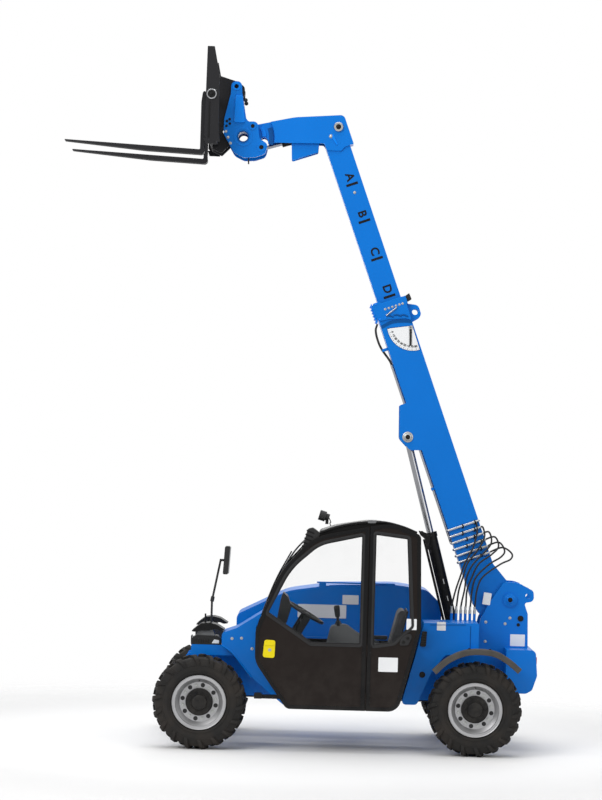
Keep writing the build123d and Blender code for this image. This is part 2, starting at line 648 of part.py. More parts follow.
with BuildPart() as boom_collar:
    # A band round the mouth, with a pair of lifting ears behind it.
    band = box_rows(MOUTH - COLLAR_LENGTH, MOUTH, OUTER_UNDER - COLLAR_PLATE, OUTER_TOP + COLLAR_PLATE)
    plate(band, -HALF_OUTER - COLLAR_PLATE, HALF_OUTER + COLLAR_PLATE, BOOM)
    opening = box_rows(MOUTH - COLLAR_LENGTH, MOUTH, OUTER_UNDER, OUTER_TOP)
    plate(opening, -HALF_OUTER, HALF_OUTER, BOOM, Mode.SUBTRACT)
    ear_rows = [
        (MOUTH - MOUTH_EYE_BACK - 73, OUTER_TOP, 0),
        (MOUTH - MOUTH_EYE_BACK - 53, OUTER_TOP + MOUTH_EYE_RISE + 44, 46),
        (MOUTH - MOUTH_EYE_BACK + 47, OUTER_TOP + MOUTH_EYE_RISE + 44, 46),
        (MOUTH - COLLAR_LENGTH, OUTER_TOP + COLLAR_PLATE, 0),
        (MOUTH - COLLAR_LENGTH + 20, OUTER_TOP, 0),
    ]
    plates(ear_rows, HALF_OUTER - 60, HALF_OUTER - 38, BOOM)
    eye_along, eye_across = MOUTH - MOUTH_EYE_BACK, OUTER_TOP + MOUTH_EYE_RISE
    disc(eye_along, eye_across, MOUTH_EYE_RADIUS, -HALF_OUTER, HALF_OUTER, BOOM, Mode.SUBTRACT)
save(boom_collar.part, "boom_collar")

with BuildPart() as wear_pads:
    # Four blocks inside the mouth that the inner tube slides on.
    start = MOUTH - PAD_LENGTH
    plates(
        box_rows(start, MOUTH, INNER_UNDER + 30, INNER_TOP - 30), HALF_INNER + PAD_GAP, HALF_BORE, BOOM
    )
    for low, high in (
        (INNER_TOP + PAD_GAP, OUTER_TOP - OUTER_WALL),
        (OUTER_UNDER + OUTER_WALL, INNER_UNDER - PAD_GAP),
    ):
        plate(box_rows(start, MOUTH, low, high), -HALF_INNER + 30, HALF_INNER - 30, BOOM)
save(wear_pads.part, "wear_pads")

INNER_END = NECK_SEAM + 60
with BuildPart() as boom_inner:
    plate(box_rows(INNER_TAIL, INNER_END, INNER_UNDER, INNER_TOP), -HALF_INNER, HALF_INNER, BOOM)
    hollow = box_rows(
        INNER_TAIL - 10, INNER_END - 20, INNER_UNDER + INNER_WALL, INNER_TOP - INNER_WALL
    )
    half_hollow = HALF_INNER - INNER_WALL
    plate(hollow, -half_hollow, half_hollow, BOOM, Mode.SUBTRACT)
save(boom_inner.part, "boom_inner")

# The gooseneck: two side plates lapping the inner tube, a cover between them, open below where
# the tilt cylinder lies. Rows here are (behind the head pivot, above it, corner radius).
HALF_NECK = HALF_INNER + NECK_PLATE
NECK_BACK = INNER_TOP + 33     # the neck's rear face, square to the boom
COVER = 14.0
neck_rows = [
    (-60, 60, 60),
    (98, 112, 60),
    (439, 185, 500),
    (*in_head(HEAD_ALONG - 91, NECK_BACK), 45),
    (*in_head(NECK_SEAM + 11, NECK_BACK), 0),
    (*in_head(NECK_SEAM + 8, INNER_TOP - 50), 0),
    (*in_head(NECK_SEAM - 14, INNER_TOP - 90), 0),
    (*in_head(NECK_SEAM + 30, INNER_UNDER), 0),
    (*in_head(NECK_SEAM + 92, INNER_UNDER), 30),
    (376, -38, 0),
    (100, -36, 0),
    (-60, -60, 60),
]
cavity_rows = [                # between the side plates, under the cover
    (NECK_SLIM_RADIUS + 20, -300, 0),
    (NECK_SLIM_RADIUS + 20, 110, 20),
    (439, 185 - COVER, 500),
    (*in_head(HEAD_ALONG - 91 - COVER, INNER_TOP), 30),
    (*in_head(NECK_SEAM - 200, INNER_TOP), 0),
    (*in_head(NECK_SEAM - 200, INNER_UNDER - 300), 0),
]
slot_rows = [                  # for the cylinder's rod, in the slim end
    (TILT_EYE_BACK - 34, -300, 0),
    (TILT_EYE_BACK - 34, 10, 20),
    (NECK_SLIM_RADIUS + 30, 80, 0),
    (NECK_SLIM_RADIUS + 30, -300, 0),
]
TILT_BOSS = TILT_PIN_RADIUS + 10
with BuildPart() as gooseneck:
    plate(neck_rows, -HALF_NECK, HALF_NECK, HEAD)
    plate(cavity_rows, -HALF_INNER, HALF_INNER, HEAD, Mode.SUBTRACT)
    plate(slot_rows, -TILT_SLOT_HALF_WIDTH, TILT_SLOT_HALF_WIDTH, HEAD, Mode.SUBTRACT)
    for ends in ((NECK_SLIM_HALF, HALF_NECK + 10), (-HALF_NECK - 10, -NECK_SLIM_HALF)):
        disc(0, 0, NECK_SLIM_RADIUS, *ends, HEAD, Mode.SUBTRACT)
    disc(0, 0, HEAD_BOSS_RADIUS, -NECK_SLIM_HALF, NECK_SLIM_HALF, HEAD)
    bore = HEAD_BORE_RADIUS + HEAD_SLEEVE + PIN_GAP
    disc(0, 0, bore, -HALF_NECK, HALF_NECK, HEAD, Mode.SUBTRACT)
    # Notches that the rod's pin rises into as the forks tip down.
    for turn in (0, DUMP_ANGLE / 2, DUMP_ANGLE):
        swung = Vector(TILT_EYE_BACK, -TILT_EYE_DROP).rotate(Axis.Z, turn)
        disc(swung.X, swung.Y, TILT_BOSS + MOVING_GAP, -HALF_NECK, HALF_NECK, HEAD, Mode.SUBTRACT)
    # The tilt cylinder's base pin, through both side plates, with a boss outside each.
    pin_at = (TILT_BASE_BACK, TILT_BASE_RISE)
    disc(*pin_at, TILT_PIN_RADIUS, -HALF_NECK - 8, HALF_NECK + 8, HEAD)
    for ends in ((HALF_NECK, HALF_NECK + 6), (-HALF_NECK - 6, -HALF_NECK)):
        disc(*pin_at, TILT_PIN_RADIUS + 18, *ends, HEAD)
    # Guard plates below the neck.
    guard_rows = [(416, -37, 0), (652, -37, 0), (648, -108, 15), (421, -185, 12)]
    plates(guard_rows, TILT_SLOT_HALF_WIDTH + 8, TILT_SLOT_HALF_WIDTH + 18, HEAD)
    plates(box_rows(416, 652, -37, -20), TILT_SLOT_HALF_WIDTH + 8, HALF_INNER, HEAD)
save(gooseneck.part, "gooseneck")

# ---- Coupler, carriage and forks ------------------------------------------------------------
# The carriage's gussets run next to the neck, and the coupler's plates outside them.
GUSSET_INNER_X = HALF_NECK + MOVING_GAP
COUPLER_INNER_X = GUSSET_INNER_X + GUSSET_PLATE
COUPLER_OUTER_X = COUPLER_INNER_X + COUPLER_PLATE
EYE_BACK, EYE_UP = COUPLER_EYE_BACK, COUPLER_EYE_UP
with BuildPart() as coupler:
    coupler_rows = [
        (104, -176, 70),
        (192, -146, 50),
        (214, -60, 40),
        (142, -14, 25),
        (130, 40, 40),
        (124, 134, 42),
        (40, 130, 30),
        (20, 160, 20),
        (EYE_BACK + 50, EYE_UP - 50, 40),
        (EYE_BACK + 46, EYE_UP + 44, 42),
        (EYE_BACK - 44, EYE_UP + 44, 42),
        (EYE_BACK - 46, EYE_UP - 60, 60),
        (-166, 150, 60),
        (-168, 20, 60),
        (-75, -140, 80),
        (10, -182, 90),
    ]
    plates(coupler_rows, COUPLER_INNER_X, COUPLER_OUTER_X, HEAD)
    # Hollow head pin through the neck's bore, with a shoulder each side.
    disc(0, 0, HEAD_BORE_RADIUS + HEAD_SLEEVE, -COUPLER_OUTER_X, COUPLER_OUTER_X, HEAD)
    shoulder_x = NECK_SLIM_HALF + MOVING_GAP
    for ends in ((shoulder_x, COUPLER_INNER_X), (-COUPLER_INNER_X, -shoulder_x)):
        disc(0, 0, HEAD_BOSS_RADIUS, *ends, HEAD)
    wide = COUPLER_OUTER_X + 40
    disc(0, 0, HEAD_BORE_RADIUS, -wide, wide, HEAD, Mode.SUBTRACT)
    # Bosses and pin ends that hold the tilt rod's eye.
    for side in (1, -1):
        boss_ends = sorted((side * (TILT_EYE_HALF_WIDTH + MOVING_GAP), side * COUPLER_INNER_X))
        disc(TILT_EYE_BACK, -TILT_EYE_DROP, TILT_BOSS, *boss_ends, HEAD)
    # The top eye, and a crossbar at the front edge that clears the neck as the forks tip up.
    disc(EYE_BACK, EYE_UP, 20, -wide, wide, HEAD, Mode.SUBTRACT)
    disc(*CROSSBAR, CROSSBAR_RADIUS, -COUPLER_INNER_X, COUPLER_INNER_X, HEAD)
save(coupler.part, "coupler")

CARRIAGE_LOW, CARRIAGE_HIGH = -85, 718
SHAFT_BACK, SHAFT_UP = -266, 313
with BuildPart() as fork_carriage:
    side_rows = [
        (-311, CARRIAGE_HIGH, 4),
        (-251, CARRIAGE_HIGH, 4),
        (-205, CARRIAGE_HIGH - 230, 20),
        (-200, CARRIAGE_LOW + 90, 20),
        (-185, CARRIAGE_LOW, 4),
        (-280, CARRIAGE_LOW, 4),
        (-320, CARRIAGE_LOW + 40, 4),
    ]
    half = CARRIAGE_HALF_WIDTH - CARRIAGE_PLATE
    plates(side_rows, half, CARRIAGE_HALF_WIDTH, HEAD)
    disc(SHAFT_BACK, SHAFT_UP, SHAFT_RADIUS, -half, half, HEAD)
    lower_bar = box_rows(-285, -212, CARRIAGE_LOW + 6, CARRIAGE_LOW + 118, 6)
    plate(lower_bar, -half, half, HEAD)
    upper_bar = box_rows(-300, -256, CARRIAGE_HIGH - 70, CARRIAGE_HIGH - 8, 4)
    plate(upper_bar, -half, half, HEAD)
    gusset_rows = [
        (-262, 535, 10),
        (EYE_BACK + 5, EYE_UP + 44, 40),
        (EYE_BACK + 72, EYE_UP, 40),
        (EYE_BACK + 70, EYE_UP - 75, 30),
        (EYE_BACK + 20, EYE_UP - 130, 20),
        (-190, 60, 20),
        (-110, -70, 20),
        (-185, -146, 10),
        (-262, -110, 0),
    ]
    plates(gusset_rows, GUSSET_INNER_X, COUPLER_INNER_X, HEAD)
save(fork_carriage.part, "fork_carriage")

HEEL_BACK = -313
FORK_TOP = -150
FORK_HOOK_UP = SHAFT_UP + SHAFT_RADIUS
with BuildPart() as forks:
    for x_mid in (-FORK_SPACING / 2, FORK_SPACING / 2):
        rise = sin(radians(FORK_PITCH)) * FORK_LENGTH
        fork_rows = [
            (HEEL_BACK, FORK_TOP - FORK_THICKNESS, 30),
            (HEEL_BACK - 500, FORK_TOP - FORK_THICKNESS + rise * 0.42, 0),
            (HEEL_BACK - FORK_LENGTH, FORK_TOP + rise - 10, 3),
            (HEEL_BACK - FORK_LENGTH, FORK_TOP + rise, 3),
            (HEEL_BACK - FORK_THICKNESS, FORK_TOP, 10),
            (HEEL_BACK - FORK_THICKNESS, SHAFT_UP - 60, 10),
            (HEEL_BACK - 30, FORK_HOOK_UP, 20),
            (HEEL_BACK - 8, FORK_HOOK_UP, 4),
            (HEEL_BACK - 8, FORK_TOP + 20, 0),
        ]
        plate(fork_rows, x_mid - FORK_WIDTH / 2, x_mid + FORK_WIDTH / 2, HEAD)
save(forks.part, "forks")

# ---- Cylinders ------------------------------------------------------------------------------
EYE_HALF_WIDTH = HALF_OUTER - BRACKET_PLATE - 14 - MOVING_GAP
LINE_RADIUS = 11.0
LINE_ACROSS = -LIFT_BARREL_RADIUS - LINE_RADIUS - 4
with BuildPart() as lift_barrel:
    rod_along(LIFT, 60, LIFT_BARREL_LENGTH, LIFT_BARREL_RADIUS)
    rod_along(LIFT, LIFT_BARREL_LENGTH - 40, LIFT_BARREL_LENGTH, LIFT_BARREL_RADIUS + 6)
    disc(0, 0, LIFT_PIN_RADIUS + 26, -60, 60, LIFT)
    plate(box_rows(0, 70, -40, 40), -46, 46, LIFT)
    # Oil line along the barrel, on a lug at each end.
    rod_along(LIFT, 120, LIFT_BARREL_LENGTH - 44, LINE_RADIUS, LINE_ACROSS)
    for at in (140, LIFT_BARREL_LENGTH - 100):
        plate(box_rows(at, at + 36, LINE_ACROSS, 0), -LINE_RADIUS, LINE_RADIUS, LIFT)
    rod_along(LIFT, 70, LIFT_BARREL_LENGTH + 10, LIFT_ROD_RADIUS + PIN_GAP, mode=Mode.SUBTRACT)
    disc(0, 0, LIFT_PIN_RADIUS + PIN_GAP, -60, 60, LIFT, Mode.SUBTRACT)
save(lift_barrel.part, "lift_barrel")

with BuildPart() as lift_rod:
    rod_along(LIFT, LIFT_LENGTH - LIFT_ROD_LENGTH, LIFT_LENGTH - 20, LIFT_ROD_RADIUS)
    disc(LIFT_LENGTH, 0, LIFT_PIN_RADIUS + 20, -EYE_HALF_WIDTH, EYE_HALF_WIDTH, LIFT)
    disc(LIFT_LENGTH, 0, LIFT_PIN_RADIUS + PIN_GAP, -EYE_HALF_WIDTH, EYE_HALF_WIDTH, LIFT, Mode.SUBTRACT)
save(lift_rod.part, "lift_rod")

# Tilt cylinder: its base pin inside the neck, its rod down to the coupler's rear lobe.
TILT_BASE = place(HEAD, TILT_BASE_BACK, TILT_BASE_RISE)
TILT_EYE = place(HEAD, TILT_EYE_BACK, -TILT_EYE_DROP)
TILT_LENGTH = hypot(TILT_EYE[0] - TILT_BASE[0], TILT_EYE[1] - TILT_BASE[1])
TILT = leaning_plane(
    *TILT_BASE,
    (TILT_EYE[0] - TILT_BASE[0]) / TILT_LENGTH,
    (TILT_EYE[1] - TILT_BASE[1]) / TILT_LENGTH,
)
with BuildPart() as tilt_barrel:
    rod_along(TILT, 24, TILT_BARREL_LENGTH, TILT_BARREL_RADIUS)
    disc(0, 0, TILT_PIN_RADIUS + 16, -TILT_BASE_HALF_WIDTH, TILT_BASE_HALF_WIDTH, TILT)
    plate(box_rows(0, 40, -22, 22), -22, 22, TILT)
    rod_along(TILT, 48, TILT_BARREL_LENGTH + 10, TILT_ROD_RADIUS + PIN_GAP, mode=Mode.SUBTRACT)
    disc(0, 0, TILT_PIN_RADIUS + PIN_GAP, -60, 60, TILT, Mode.SUBTRACT)
save(tilt_barrel.part, "tilt_barrel")

with BuildPart() as tilt_rod:
    rod_along(TILT, TILT_LENGTH - TILT_ROD_LENGTH, TILT_LENGTH - 14, TILT_ROD_RADIUS)
    disc(TILT_LENGTH, 0, TILT_PIN_RADIUS + 11, -TILT_EYE_HALF_WIDTH, TILT_EYE_HALF_WIDTH, TILT)
    disc(TILT_LENGTH, 0, TILT_PIN_RADIUS + PIN_GAP, -60, 60, TILT, Mode.SUBTRACT)
save(tilt_rod.part, "tilt_rod")

# ---- Cab ------------------------------------------------------------------------------------
nose, back = CAB_FRONT_Y, CAB_REAR_Y
cab_rows = [                   # the cab's side outline
    (nose + 264, CAB_FLOOR_Z - 8, 60),
    (nose - 6, 735, 200),
    (nose - 6, 1000, 200),
    (nose + 189, 1488, 700),
    (nose + 453, 1780, 420),
    (back - 261, 1912, 500),
    (back - 20, 1812, 45),
    (back, 1045, 30),
    (back - 50, 830, 60),
    (back - 175, CAB_FLOOR_Z - 8, 110),
]
door_glass_rows = [            # the door's window
    (nose + 78, 1140, 20),
    (nose + 265, 1515, 600),
    (nose + 500, 1722, 330),
    (DOOR_REAR_Y - 46, 1806, 20),
    (DOOR_REAR_Y - 46, 893, 20),
    (nose + 454, 893, 40),
]
quarter_glass_rows = [         # the window behind the door
    (DOOR_REAR_Y + 42, 1822, 20),
    (back - 118, 1790, 20),
    (back - 75, 1060, 30),
    (back - 220, 915, 60),
    (DOOR_REAR_Y + 42, 886, 20),
]
SKIN_INNER_X = CAB_OUTER_X - DOOR_THICKNESS
HINGE_X = CAB_OUTER_X + HINGE_RADIUS + 0.5
HINGE_Y = DOOR_REAR_Y + PANEL_GAP / 2
TUBE_OUTER_X = SKIN_INNER_X - PANEL_GAP
TUBE_INNER_X = TUBE_OUTER_X - CAB_TUBE
FAR_TUBE_X = CAB_INNER_X + CAB_TUBE


with BuildPart() as cab_frame:
    for x_in, x_out in ((TUBE_INNER_X, TUBE_OUTER_X), (CAB_INNER_X, FAR_TUBE_X)):
        plate(cab_rows, x_in, x_out)
        extrude(
            outline(cab_rows, x_in, grow=-CAB_TUBE), amount=x_out - x_in, mode=Mode.SUBTRACT
        )
        block(
            (x_in, x_out),
            (DOOR_REAR_Y - 24, DOOR_REAR_Y + CAB_TUBE - 6),
            (CAB_FLOOR_Z + 20, 1850),
        )
    # Cross tubes between the two side hoops.
    cross_tubes = [            # y, z
        (nose + 45, 1060),
        (nose + 470, 1745),
        (back - 45, 1770),
        (back - 25, 1060),
    ]
    for y, z in cross_tubes:
        block((FAR_TUBE_X, TUBE_INNER_X), (y - 20, y + 20), (z - 20, z + 20))
    # Step ahead of the door, on an arm from the hoop.
    block((TUBE_INNER_X - 60, CAB_OUTER_X - 10), (nose - 4, nose + 58), (STEP_Z - 20, STEP_Z + 20))
    block((TUBE_INNER_X, TUBE_OUTER_X), (nose + 40, nose + 230), (STEP_Z - 20, STEP_Z + 12))
save(cab_frame.part, "cab_frame")


def hinge_leaves(y_edge, side, low, high):
    """Hinge leaves on the cab's side from a panel's edge, each with its share of the barrel.

    side is -1 ahead of the hinge line and 1 behind it; low and high are from the hinge's middle.
    """
    for z_mid in HINGE_HEIGHTS:
        block(
            (CAB_OUTER_X, HINGE_X - HINGE_RADIUS + 4),
            sorted((HINGE_Y + side * 3, y_edge + side * 45)),
            (z_mid + low, z_mid + high),
        )
        with Locations((HINGE_X, HINGE_Y, z_mid + low)):
            Cylinder(HINGE_RADIUS, high - low, align=(Align.CENTER, Align.CENTER, Align.MIN))


with BuildPart() as cab_door:
    extrude(
        (outline(cab_rows, SKIN_INNER_X)
         - outline(box_rows(DOOR_REAR_Y, back + 500, 0, 2500), SKIN_INNER_X)),
        amount=DOOR_THICKNESS,
    )
    plate(door_glass_rows, SKIN_INNER_X - 10, CAB_OUTER_X + 10, mode=Mode.SUBTRACT)
    hinge_leaves(DOOR_REAR_Y, -1, 3, 45)
save(cab_door.part, "cab_door")

with BuildPart() as door_glass:
    pane_x = SKIN_INNER_X + GLASS_SETBACK
    plate(door_glass_rows, pane_x, pane_x + GLASS_THICKNESS)
save(door_glass.part, "door_glass")

with BuildPart() as cab_quarter:
    extrude(
        (outline(cab_rows, SKIN_INNER_X)
         - outline(box_rows(nose - 500, DOOR_REAR_Y + PANEL_GAP, 0, 2500), SKIN_INNER_X)),
        amount=DOOR_THICKNESS,
    )
    plate(quarter_glass_rows, SKIN_INNER_X - 10, CAB_OUTER_X + 10, mode=Mode.SUBTRACT)
    hinge_leaves(DOOR_REAR_Y + PANEL_GAP, 1, -45, -3)
save(cab_quarter.part, "cab_quarter")


def window_band(x_from, x_to, outer, inner, region):
    """A sheet that follows the cab's outline between two insets, kept inside a region."""
    sheet = outline(cab_rows, x_from, grow=-outer) - outline(cab_rows, x_from, grow=-inner)
    extrude(sheet & outline(region, x_from), amount=x_to - x_from)


CAB_MIDDLE_X = (CAB_INNER_X + CAB_OUTER_X) / 2
SEAT_HALF_WIDTH = 225.0
SEAT_BASE_Z = 645.0
TUB_TOP_Z = 890.0
TUB_WALL = 12.0
with BuildPart() as cab_tub:
    window_band(
        FAR_TUBE_X, TUBE_INNER_X, 6, 6 + TUB_WALL, box_rows(nose - 100, back + 100, 0, TUB_TOP_Z)
    )
    inner_wall = outline(cab_rows, CAB_INNER_X - TUB_WALL) & outline(
        box_rows(nose - 100, back + 100, 0, TUB_TOP_Z), CAB_INNER_X - TUB_WALL
    )
    extrude(inner_wall, amount=TUB_WALL)
    # Box under the seat.
    block(
        (CAB_MIDDLE_X - 190, CAB_MIDDLE_X + 190),
        (back - 600, back - 250),
        (CAB_FLOOR_Z + 4, SEAT_BASE_Z - 5),
    )
save(cab_tub.part, "cab_tub")

GLASS_INSET = 10.0
GLASS_LOW_Z = 1082.0           # windscreen's and rear window's lower edge
with BuildPart() as cab_glass:
    # Windscreen and rear window follow the cab's outline.
    for region in (
        box_rows(nose - 100, nose + 448, GLASS_LOW_Z, 1900),
        box_rows(back - 300, back + 100, GLASS_LOW_Z, 1748),
    ):
        window_band(FAR_TUBE_X, TUBE_INNER_X, GLASS_INSET, GLASS_INSET + GLASS_THICKNESS, region)
    # Panes on the boom's side, ahead of the middle pillar and behind it.
    pane_x = CAB_INNER_X + 18
    pane = outline(cab_rows, pane_x, grow=-CAB_TUBE) & outline(
        box_rows(nose - 100, back + 100, TUB_TOP_Z, 2000), pane_x
    )
    pillar = outline(box_rows(DOOR_REAR_Y - 24, DOOR_REAR_Y + CAB_TUBE - 6, 0, 2000), pane_x)
    extrude(pane - pillar, amount=GLASS_THICKNESS)
    # The window behind the door.
    pane_x = SKIN_INNER_X + GLASS_SETBACK
    plate(quarter_glass_rows, pane_x, pane_x + GLASS_THICKNESS)
save(cab_glass.part, "cab_glass")

with BuildPart() as cab_roof:
    roof_rows = [
        (nose + 500, 1700, 0),
        (nose + 500, 1822, 40),
        (nose + 640, 1868, 300),
        (nose + 960, 1924, 500),
        (back - 70, 1846, 60),
        (back - 40, 1780, 0),
    ]
    extrude(
        outline(roof_rows, CAB_INNER_X) - outline(cab_rows, CAB_INNER_X),
        amount=TUBE_OUTER_X - CAB_INNER_X,
    )
save(cab_roof.part, "cab_roof")

with BuildPart() as seat:
    seat_rows = [
        (back - 640, SEAT_BASE_Z, 40),
        (back - 230, SEAT_BASE_Z, 40),
        (back - 95, 1190, 28),
        (back - 160, 1215, 28),
        (back - 300, 765, 60),
        (back - 630, 775, 60),
    ]
    plate(seat_rows, CAB_MIDDLE_X - SEAT_HALF_WIDTH, CAB_MIDDLE_X + SEAT_HALF_WIDTH)
save(seat.part, "seat")

WHEEL_TILT = 30.0              # steering wheel's plane from level
COLUMN = leaning_plane(
    nose + 404, 1150, sin(radians(WHEEL_TILT)), cos(radians(WHEEL_TILT))
)
with BuildPart() as dash:
    dash_rows = [
        (nose + 290, CAB_FLOOR_Z + 14, 20),
        (nose + 380, CAB_FLOOR_Z + 14, 20),
        (nose + 340, 800, 40),
        (nose + 400, 930, 30),
        (nose + 250, 1000, 40),
        (nose + 120, 900, 40),
        (nose + 150, 600, 60),
    ]
    plate(dash_rows, CAB_MIDDLE_X - 170, CAB_MIDDLE_X + 170)
    rod_along(COLUMN, -290, -24, 20, x_at=CAB_MIDDLE_X)
save(dash.part, "dash")

with BuildPart() as steering_wheel:
    hub_y, hub_z = place(COLUMN, -10, 0)
    hub_plane = Plane(origin=(CAB_MIDDLE_X, hub_y, hub_z), z_dir=COLUMN.x_dir)
    with BuildSketch(hub_plane) as hub_section:
        Circle(38)
    extrude(hub_section.sketch, amount=26)
    rim_plane = Plane(
        origin=hub_plane.origin, x_dir=hub_plane.x_dir, z_dir=hub_plane.y_dir
    )
    with BuildSketch(rim_plane) as rim_section:
        with Locations((STEERING_WHEEL_RADIUS - 14, -20)):
            RegularPolygon(14, 8)
    revolve(rim_section.sketch, axis=Axis(hub_plane.origin, hub_plane.z_dir))
    for angle in (90, 210, 330):
        spoke_plane = hub_plane.rotated((0, 0, angle))
        with BuildSketch(spoke_plane.offset(12)) as spoke:
            with Locations((STEERING_WHEEL_RADIUS / 2, 0)):
                Rectangle(STEERING_WHEEL_RADIUS - 14, 26)
        extrude(spoke.sketch, amount=10)
save(steering_wheel.part, "steering_wheel")

# ---- Body panels ahead of the cab and behind it ---------------------------------------------
BODY_OUTER_X = 600.0
LAMP_BASE_Z = 838.0
with BuildPart() as front_body:
    left_rows = [
        (front + 165, 845, 0),
        (front + 165, 945, 30),
        (front + 290, 990, 40),
        (front + 520, 1140, 40),
        (front + 760, 1140, 0),
        (front + 760, CAB_FLOOR_Z, 0),
        (front + 690, CAB_FLOOR_Z, 0),
        (front + 440, 566, 80),
        (front + 365, 655, 0),
        (front + 255, 785, 60),
    ]
    left_face = outline(left_rows, FRAME_OUTER_X) - outline(
        cab_rows, FRAME_OUTER_X, grow=PANEL_GAP
    )
    extrude(left_face, amount=BODY_OUTER_X - FRAME_OUTER_X)
    right_rows = [
        (front + 165, 845, 0),
        (front + 165, HOOD_SEAM_Z - 10, 20),
        (front + 462, HOOD_SEAM_Z - 10, 0),
        (front + 462, 545, 0),
        (front + 440, 566, 0),
        (front + 365, 655, 0),
        (front + 255, 785, 60),
    ]
    plate(right_rows, -BODY_OUTER_X, -FRAME_OUTER_X)
    # Bars under the headlamps.
    plates(box_rows(front - 93, front + 260, LAMP_BASE_Z - 86, LAMP_BASE_Z, 10), FRAME_OUTER_X, 520)
save(front_body.part, "front_body")

with BuildPart() as side_tanks:
    left_rows = [
        (back - 140, FRAME_BOTTOM_Z, 30),
        (rear - 470, FRAME_BOTTOM_Z, 40),
        (rear - 357, 660, 80),
        (rear - 247, 812, 60),
        (rear + 33, 830, 0),
        (rear + 33, 1083, 10),
        (back + 35, 1075, 10),
        (back - 25, 820, 60),
    ]
    plate(left_rows, FRAME_OUTER_X, BODY_OUTER_X)
    right_rows = [
        (rear - 375, 830, 0),
        (rear + 33, 830, 0),
        (rear + 33, HOOD_SEAM_Z - 10, 10),
        (rear - 375, HOOD_SEAM_Z - 10, 0),
    ]
    plate(right_rows, -BODY_OUTER_X, -FRAME_OUTER_X)
    # Hose fittings on the left tank's top.
    for k in range(HOSE_COUNT):
        with Locations((FITTING_X, rear + FITTINGS_AHEAD + FITTING_PITCH * k, FITTING_TOP_Z - 90)):
            Cylinder(12, 90, align=(Align.CENTER, Align.CENTER, Align.MIN))
save(side_tanks.part, "side_tanks")

with BuildPart() as headlamps:
    lamp_rows = [
        (front - 97, LAMP_BASE_Z, 0),
        (front + 155, LAMP_BASE_Z, 0),
        (front + 155, 880, 10),
        (front + 110, 932, 30),
        (front - 40, 940, 40),
        (front - 97, 885, 15),
    ]
    plates(lamp_rows, 330, 520)
save(headlamps.part, "headlamps")

FENDER_OUTER_X = 905.0
FENDER_INNER_X = 790.0
FENDER_SKIN = 12.0
with BuildPart() as rear_fenders:
    band = [                   # the upper edge from front to rear, then the lower one back
        (rear - 363, 709, 10),
        (rear - 252, 812, 260),
        (rear - 110, 882, 260),
        (rear + 28, 896, 400),
        (rear + 162, 882, 260),
        (rear + 282, 818, 260),
        (rear + 374, 735, 10),
        (rear + 340, 680, 10),
        (rear + 250, 762, 220),
        (rear + 142, 819, 220),
        (rear + 28, 832, 340),
        (rear - 92, 819, 220),
        (rear - 222, 757, 220),
        (rear - 328, 655, 10),
    ]
    plates(band, FENDER_INNER_X, FENDER_OUTER_X)
    lowered = [(y, z - FENDER_SKIN, r) for y, z, r in band]
    plates(lowered, FENDER_INNER_X - 5, FENDER_OUTER_X - FENDER_SKIN, mode=Mode.SUBTRACT)
    for side in (1, -1):
        block(
            sorted((side * BODY_OUTER_X, side * (FENDER_OUTER_X - FENDER_SKIN))),
            (rear - 60, rear + 20),
            (834, 868),
        )
        block(
            sorted((side * COUNTERWEIGHT_HALF_WIDTH, side * (FENDER_OUTER_X - FENDER_SKIN))),
            (rear + 285, rear + 315),
            (736, 764),
        )
save(rear_fenders.part, "rear_fenders")

# ---- Engine side ----------------------------------------------------------------------------
POD_WALL = 14.0
with BuildPart() as engine_block:
    block((-740, -300), (front + 760, rear - 680), (FRAME_BOTTOM_Z + 50, 1110))
save(engine_block.part, "engine_block")

